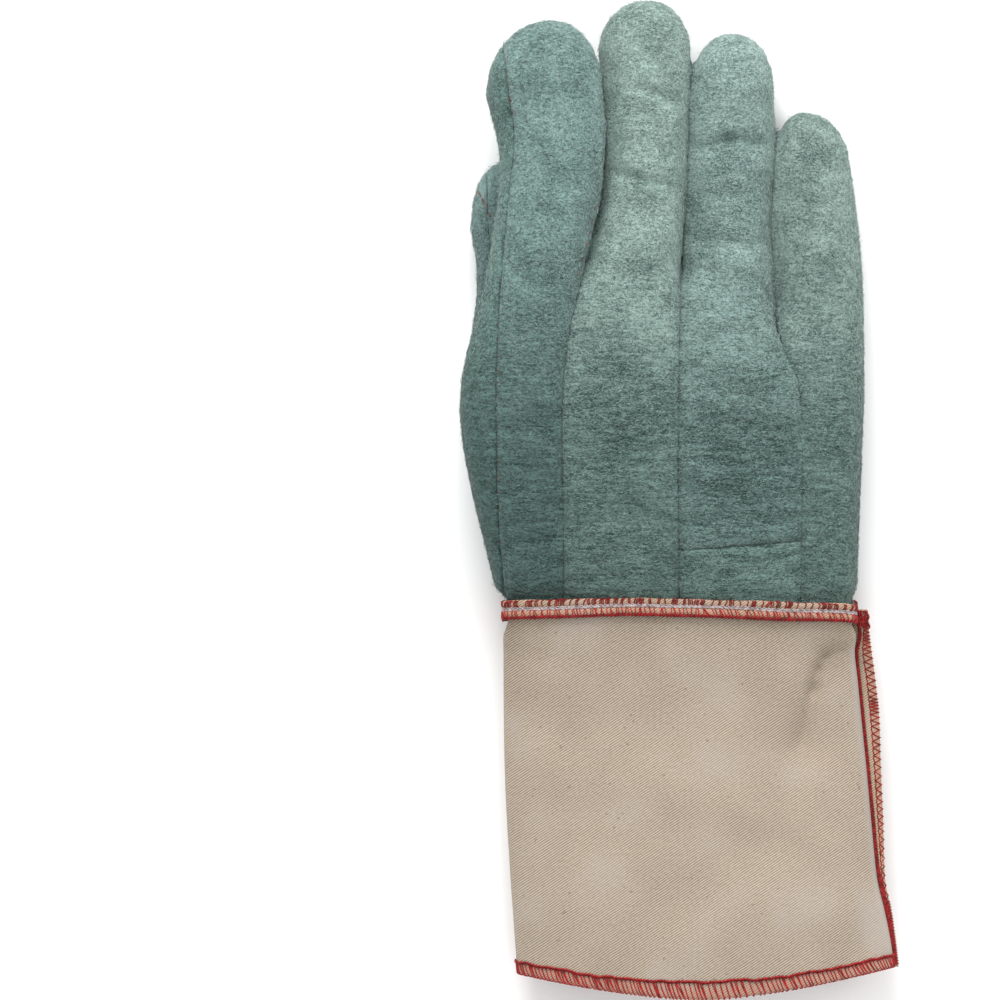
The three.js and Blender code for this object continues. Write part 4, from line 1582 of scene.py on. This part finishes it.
    def valleys(self, local: np.ndarray) -> np.ndarray:
        """Says how deep the seams pull the cloth in at each place.

        Args:
            local: places on the hand.

        Returns:
            The depth at each, that of the nearest seam.
        """
        deepest = np.zeros(len(local))
        for line, deep in zip(self.seams, self.seam_deeps):
            for start, end in zip(line, line[1:]):
                run = Furrow(start, end, self.seam_wide, deep)
                deepest = np.maximum(deepest, run.depth(local[:, 0], local[:, 1]))
        return deepest

    def unevenness(self, local: np.ndarray, facing: np.ndarray) -> np.ndarray:
        """Says how far the cloth rises or sinks: the nap's waviness, and rubs across the lower hand.

        Args:
            local: places on the hand.
            facing: the outward direction at each.

        Returns:
            The rise at each.
        """
        rubbed = self.rubs.height(local * np.array([0.22, 1, 0.2]))
        rubbed *= 1 - smoothstep(local[:, 1], 60, 110)
        rise = self.pile.height(local) + self.tufts.height(local) + rubbed
        return rise * smoothstep(np.abs(facing[:, 2]), 0.1, 0.7) * smoothstep(local[:, 2], 2, 8)

    def part(self, local: np.ndarray, line: Line) -> None:
        """Brings the sides of two fingers closer together along the line between them.

        Args:
            local: the panel's corners, which are moved in place.
            line: the line between the fingers.
        """
        xs, ys = np.array(line).T
        aside = np.interp(local[:, 1], ys, xs) - local[:, 0]
        above_crotch = smoothstep(local[:, 1], ys[0], ys[0] + 10)
        parted = above_crotch * (1 - smoothstep(local[:, 1], ys[-1], ys[-1] + 4))
        near = np.exp(-((aside / self.snug_wide) ** 2))
        local[:, 0] += np.sign(aside) * self.snug * near * parted

    def draw_together(self, pieces: Sequence[bpy.types.Object]) -> None:
        """Closes the narrow gaps across which panels face each other, as sewing and lying together do.

        Args:
            pieces: the shaped panels.
        """
        cloth = Cloth(pieces)
        for piece in pieces:
            local = PLACE.pattern(points_of(piece))
            facing = normals_of(piece)
            gap = np.array([cloth.gap(place, heading, self.reach) for place, heading in zip(local, facing)])
            near = (gap > 0) * (1 - smoothstep(gap, 0.6 * self.reach, self.reach))
            set_points(piece, PLACE.metres(local + facing * ((gap / 2 + self.lap) * near)[:, None]))


class Neighbours:
    """The corners that each corner of a mesh is joined to, to average over."""

    def __init__(self, piece: bpy.types.Object) -> None:
        """Reads a mesh's edges."""
        links = np.empty(len(piece.data.edges) * 2, np.int32)
        piece.data.edges.foreach_get("vertices", links)
        self.first, self.second = links.reshape(-1, 2).T
        self.count = len(piece.data.vertices)
        self.degree = np.maximum(np.bincount(links, minlength=self.count), 1)

    def mean(self, values: np.ndarray) -> np.ndarray:
        """Averages each corner's neighbours.

        Args:
            values: a row for each corner.

        Returns:
            The mean rows.
        """
        total = np.empty_like(values)
        for k in range(values.shape[1]):
            column = values[:, k]
            there = np.bincount(self.first, column[self.second], self.count)
            back = np.bincount(self.second, column[self.first], self.count)
            total[:, k] = (there + back) / self.degree
        return total


class Cloth:
    """The outer faces of the finished panels, to sew and brush."""

    def __init__(self, pieces: Sequence[bpy.types.Object]) -> None:
        """Gathers the panels' faces.

        Args:
            pieces: the finished panels.
        """
        points = []
        faces = []
        counts = []
        base = 0
        for piece in pieces:
            mesh = piece.data
            mesh.calc_loop_triangles()
            corners = np.empty(len(mesh.loop_triangles) * 3, np.int32)
            mesh.loop_triangles.foreach_get("vertices", corners)
            points.append(PLACE.pattern(points_of(piece)))
            faces.append(corners.reshape(-1, 3) + base)
            counts.append(len(faces[-1]))
            base += len(points[-1])
        self.points = np.vstack(points)
        self.faces = np.vstack(faces)
        self.panel = np.repeat(np.arange(len(counts)), counts)
        self.tree = BVHTree.FromPolygons(self.points.tolist(), self.faces.tolist(), all_triangles=True)

    def meet(self, x: float, y: float, side: Side) -> tuple[np.ndarray, np.ndarray] | None:
        """Finds the cloth's outer face at a place of the pattern.

        Args:
            x: across the hand.
            y: along it.
            side: the side that it is looked at from.

        Returns:
            The place and the outward direction there, or None beside the glove.
        """
        start = Vector((x, y, 200.0 * side.value))
        place, direction, _, _ = self.tree.ray_cast(start, Vector((0, 0, -side.value)))
        if place is None:
            return None
        outward = np.array(direction)
        return np.array(place), outward * np.sign(outward[2] * side.value or 1)

    def gap(self, place: np.ndarray, heading: np.ndarray, reach: float) -> float:
        """Measures how far a place is from cloth that faces it.

        Args:
            place: a place on the cloth.
            heading: the outward direction there.
            reach: the furthest that is looked.

        Returns:
            The distance, or 0 where nothing faces it.
        """
        start = Vector(place + heading * 0.02)
        found, direction, _, away = self.tree.ray_cast(start, Vector(heading), reach)
        return away if found is not None and direction.dot(Vector(heading)) < -0.3 else 0.0

    def open_faces(self, clear: float) -> np.ndarray:
        """Says which faces have nothing of the hand in front of them.

        Args:
            clear: how far in front of a face is looked.

        Returns:
            A truth value for each face.
        """
        corners = self.points[self.faces]
        outward = np.cross(corners[:, 1] - corners[:, 0], corners[:, 2] - corners[:, 0])
        outward /= np.maximum(np.linalg.norm(outward, axis=1, keepdims=True), 1e-12)
        middles = corners.mean(1) + outward * 0.12
        found = np.ones(len(middles), bool)
        for i, (start, heading) in enumerate(zip(middles, outward)):
            found[i] = self.tree.ray_cast(Vector(start), Vector(heading), clear)[0] is None
        return found


@dataclass
class SeamStitches:
    """Running stitches of the hand: faded in the nap of the back, and quilting on the palm."""

    cloth: Cloth
    rows: tuple[Row, ...] = (
        Row(
            Side.BACK, ((-57.8, 186), (-56.4, 173.3), (-55.1, 166.7), (-54.1, 156.4)),
            stitch=2.4, gap=1.6, sunk=0.0, bold=1.2,
        ),
        Row(
            Side.BACK, ((-58.4, 110), (-59.9, 95), (-60.2, 60), (-59.8, 45), (-59, 30), (-57.6, 8)),
            stitch=1.8, gap=3.4, sunk=0.12,
        ),
        Row(
            Side.BACK, ((-27.4, 134), (-30.2, 122), (-34, 108)),
            stitch=2.0, gap=2.4, sunk=0.0, bold=1.3,
        ),
        Row(
            Side.BACK, ((-66.6, 139), (-65.6, 137.5), (-63.6, 133.5), (-61.7, 129.4)),
            stitch=2.2, gap=0.5, sunk=-0.1, bold=1.8,
        ),
        Row(Side.PALM, ((53.5, 150), (54, 128), (54.5, 108))),
        Row(Side.PALM, ((29.7, 73), (33, 40), (36, 6))),
        Row(Side.PALM, ((5.3, 68), (6.3, 44), (8.3, 27), (7.6, 6))),
        Row(Side.PALM, ((-9.2, 178.5), (-9.2, 140), (-9.4, 106))),
        Row(Side.PALM, ((-10.6, 75), (-15.2, 55), (-17.2, 6))),
        Row(Side.PALM, ((16.8, 166), (17, 130), (17, 104))),
        Row(Side.PALM, ((41.3, 137), (40.3, 105.6), (35.3, 95.7), (28.7, 95))),
    )
    radius: float = 0.13
    arch: float = 0.12
    ends_sunk: float = 0.35

    def build(self) -> None:
        """Sews every row."""
        back = ThreadWork("hand_seam_stitches", FADED_THREAD, Slot.NAP, self.radius)
        palm = ThreadWork("palm_quilting", RED_THREAD, Slot.NAP, self.radius)
        for row in self.rows:
            self.sew(back if row.side is Side.BACK else palm, row)
        back.made()
        palm.made()

    def sew(self, work: ThreadWork, row: Row) -> None:
        """Sews one row.

        Args:
            work: the thread that it is sewn with.
            row: where it runs.
        """
        line = np.array(row.line, float)
        run = np.concatenate([[0], np.cumsum(np.linalg.norm(np.diff(line, axis=0), axis=1))])
        at = 0.5
        while at + row.stitch < run[-1]:
            shares = at + np.linspace(0, row.stitch, 6) * work.chance.uniform(0.75, 1.1)
            xs = np.interp(shares, run, line[:, 0]) + work.chance.normal(0, 0.08)
            ys = np.interp(shares, run, line[:, 1])
            found = [self.cloth.meet(x, y, row.side) for x, y in zip(xs, ys)]
            if all(found):
                arch = self.arch * np.sin(np.linspace(0, math.pi, 6)) - row.sunk
                arch[[0, -1]] -= self.ends_sunk
                places, outward = np.array(found).transpose(1, 0, 2)
                work.run(places + outward * arch[:, None], row.bold)
            at += row.stitch + row.gap * work.chance.uniform(0.7, 1.3)


@dataclass
class Nap:
    """Loose fibres brushed across the hand, in a few tones."""

    cloth: Cloth
    panel_tones: Sequence[float]
    pale: LooseFibre = LooseFibre("nap_pale", srgb(158, 180, 173))
    middle: LooseFibre = LooseFibre("nap_middle", srgb(108, 132, 126))
    dark: LooseFibre = LooseFibre("nap_dark", srgb(56, 78, 73))
    dark_share: float = 0.26
    middle_share: float = 0.42
    usual_tone: float = 0.87  # the panels' usual tone, at which the shares hold
    fibres: int = 76000
    thick: float = 0.105  # a fibre's usual thickness
    clear: float = 40.0  # how far in front of a face has to be free for fibres to grow
    under_share: float = 0.55  # how densely they grow underneath, as a share
    lean: float = 0.12  # the angle from straight across that they are brushed to
    shortest: float = 0.7  # the length of the shortest fibre
    lowest: float = 0.05  # how high above cloth and floor they lie at least

    def build(self) -> None:
        """Grows the nap, a piece for each tone."""
        chance = np.random.default_rng(71)
        corners = self.cloth.points[self.cloth.faces]
        normal = np.cross(corners[:, 1] - corners[:, 0], corners[:, 2] - corners[:, 0])
        area = np.linalg.norm(normal, axis=1) / 2
        normal /= np.maximum(2 * area[:, None], 1e-12)
        weight = area * self.cloth.open_faces(self.clear)
        weight *= np.where(normal[:, 2] < -0.3, self.under_share, 1.0)
        weight *= corners[:, :, 2].mean(1) > 0.3
        chosen = chance.choice(len(area), self.fibres, p=weight / weight.sum())
        mixing = chance.dirichlet((1, 1, 1), self.fibres)
        roots = np.einsum("ij,ijk->ik", mixing, corners[chosen])
        outward = normal[chosen]
        # fibres are drawn paler towards the finger tips and on paler panels, following the painted light in
        # the cloth's colours
        towards_tips = smoothstep(roots[:, 1], 20, 150) - 0.5
        tone = np.array(self.panel_tones)[self.cloth.panel[chosen]]
        draw = chance.uniform(size=self.fibres) + 0.4 * towards_tips + 0.9 * (tone - self.usual_tone)
        kinds = np.digitize(draw, [self.dark_share, self.dark_share + self.middle_share])
        for kind, fibre in ((2, self.pale), (1, self.middle), (0, self.dark)):
            picked = kinds == kind
            self.grow(fibre, roots[picked], outward[picked], chance)

    def grow(
        self, fibre: LooseFibre, roots: np.ndarray, outward: np.ndarray, chance: np.random.Generator
    ) -> None:
        """Grows the fibres of one tone as slim closed spindles, each bent once.

        Args:
            fibre: the fibres' name and colour.
            roots: where they start.
            outward: the cloth's outward direction there.
            chance: the source of their differences.
        """
        count = len(roots)
        loose = 0.5 + 0.5 * smoothstep(roots[:, 1], 50, 110)
        angle = self.lean + chance.normal(0, 1, count) * loose + math.pi * chance.integers(0, 2, count)
        comb = np.stack([np.cos(angle), np.sin(angle), np.zeros(count)], 1)
        comb -= outward * np.einsum("ij,ij->i", comb, outward)[:, None]
        comb /= np.maximum(np.linalg.norm(comb, axis=1, keepdims=True), 1e-6)
        aside = np.cross(outward, comb)
        long = chance.gamma(3.0, 0.36, count)[:, None] + self.shortest
        lift = chance.gamma(2.0, 0.08, count)[:, None] + self.lowest
        bend = chance.normal(0, 0.09, count)[:, None] * long
        wide = (self.thick / 2 * chance.uniform(0.7, 1.3, count))[:, None]
        start = roots - outward * 0.08
        knee = roots + comb * long * 0.5 + outward * lift + aside * bend
        tip = roots + comb * long + outward * lift * chance.uniform(0.2, 1.6, count)[:, None]
        ring = [knee + aside * wide, knee - aside * wide, knee + outward * wide * 1.4]
        places = np.stack([start, *ring, tip], 1)
        places[:, :, 2] = np.maximum(places[:, :, 2], self.lowest)
        base = 5 * np.arange(count)[:, None]
        pattern = np.array([[0, 2, 1], [0, 3, 2], [0, 1, 3], [4, 1, 2], [4, 2, 3], [4, 3, 1]])
        faces = (base[:, :, None] + pattern[None]).reshape(-1, 3)
        piece = mesh_piece(fibre.name, PLACE.metres(places.reshape(-1, 3)), faces)
        dress(piece, fibre.material(), Slot.NAP)


# The studio


@dataclass(frozen=True)
class Lamp:
    """A soft rectangular lamp that is aimed at the glove."""

    name: str
    place: Triple
    size: float
    watts: float


@dataclass
class Studio:
    """A pale floor, soft lamps and a camera straight above the photograph's frame."""

    frame_width: float = 0.33  # metres that the photograph shows
    frame_centre: Span = (-0.0591, 0.0)
    camera_height: float = 6.0
    back_height: float = 0.024  # the height that this width is measured at
    furthest_seen: float = 40.0
    sensor: float = 36.0
    floor_size: float = 6.0
    floor: Colour = (0.93, 0.93, 0.93)
    air: float = 1.0  # the strength of the light from all round
    lamps: tuple[Lamp, ...] = (
        Lamp("key_lamp", (-0.25, 1.7, 1.15), 0.9, 40.0),
        Lamp("side_lamp", (1.5, 0.3, 1.3), 1.0, 8.0),
    )

    def build(self) -> None:
        """Sets up the floor, the lamps, the air and the camera."""
        scene = bpy.context.scene
        scene.view_settings.view_transform = "Standard"
        self.lay_floor()
        for lamp in self.lamps:
            self.hang(lamp)
        world = bpy.data.worlds.new("studio_air")
        world.use_nodes = True
        background = world.node_tree.nodes["Background"]
        background.inputs["Color"].default_value = (1.0, 1.0, 1.0, 1.0)
        background.inputs["Strength"].default_value = self.air
        scene.world = world
        scene.camera = self.camera()

    def lay_floor(self) -> None:
        """Lays the floor."""
        deselect()
        bpy.ops.mesh.primitive_plane_add(size=self.floor_size, location=(0, 0, 0))
        floor = bpy.context.view_layer.objects.active
        floor.name = "studio_floor"
        tree = Tree("studio_floor")
        floor.data.materials.append(tree.finish({"Base Color": self.floor, "Roughness": 0.9}))

    def hang(self, lamp: Lamp) -> None:
        """Hangs one lamp, aimed at the glove."""
        data = bpy.data.lights.new(lamp.name, "AREA")
        data.shape = "SQUARE"
        data.size = lamp.size
        data.energy = lamp.watts
        light = bpy.data.objects.new(lamp.name, data)
        light.location = lamp.place
        light.rotation_euler = (-Vector(lamp.place)).to_track_quat("-Z", "Y").to_euler()
        light.visible_camera = False
        bpy.context.scene.collection.objects.link(light)

    def camera(self) -> bpy.types.Object:
        """Puts the camera straight above the middle of the photograph's frame."""
        data = bpy.data.cameras.new("camera")
        data.sensor_width = self.sensor
        data.lens = self.sensor * (self.camera_height - self.back_height) / self.frame_width
        data.clip_end = self.furthest_seen
        camera = bpy.data.objects.new("camera", data)
        camera.location = (*self.frame_centre, self.camera_height)
        bpy.context.scene.collection.objects.link(camera)
        return camera


def main() -> None:
    """Builds the glove and its studio."""
    logging.basicConfig(level=logging.INFO, format="%(name)s %(message)s")
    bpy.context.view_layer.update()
    Gauntlet().build()
    Hand().build()
    Studio().build()


if __name__ == "__main__":
    main()
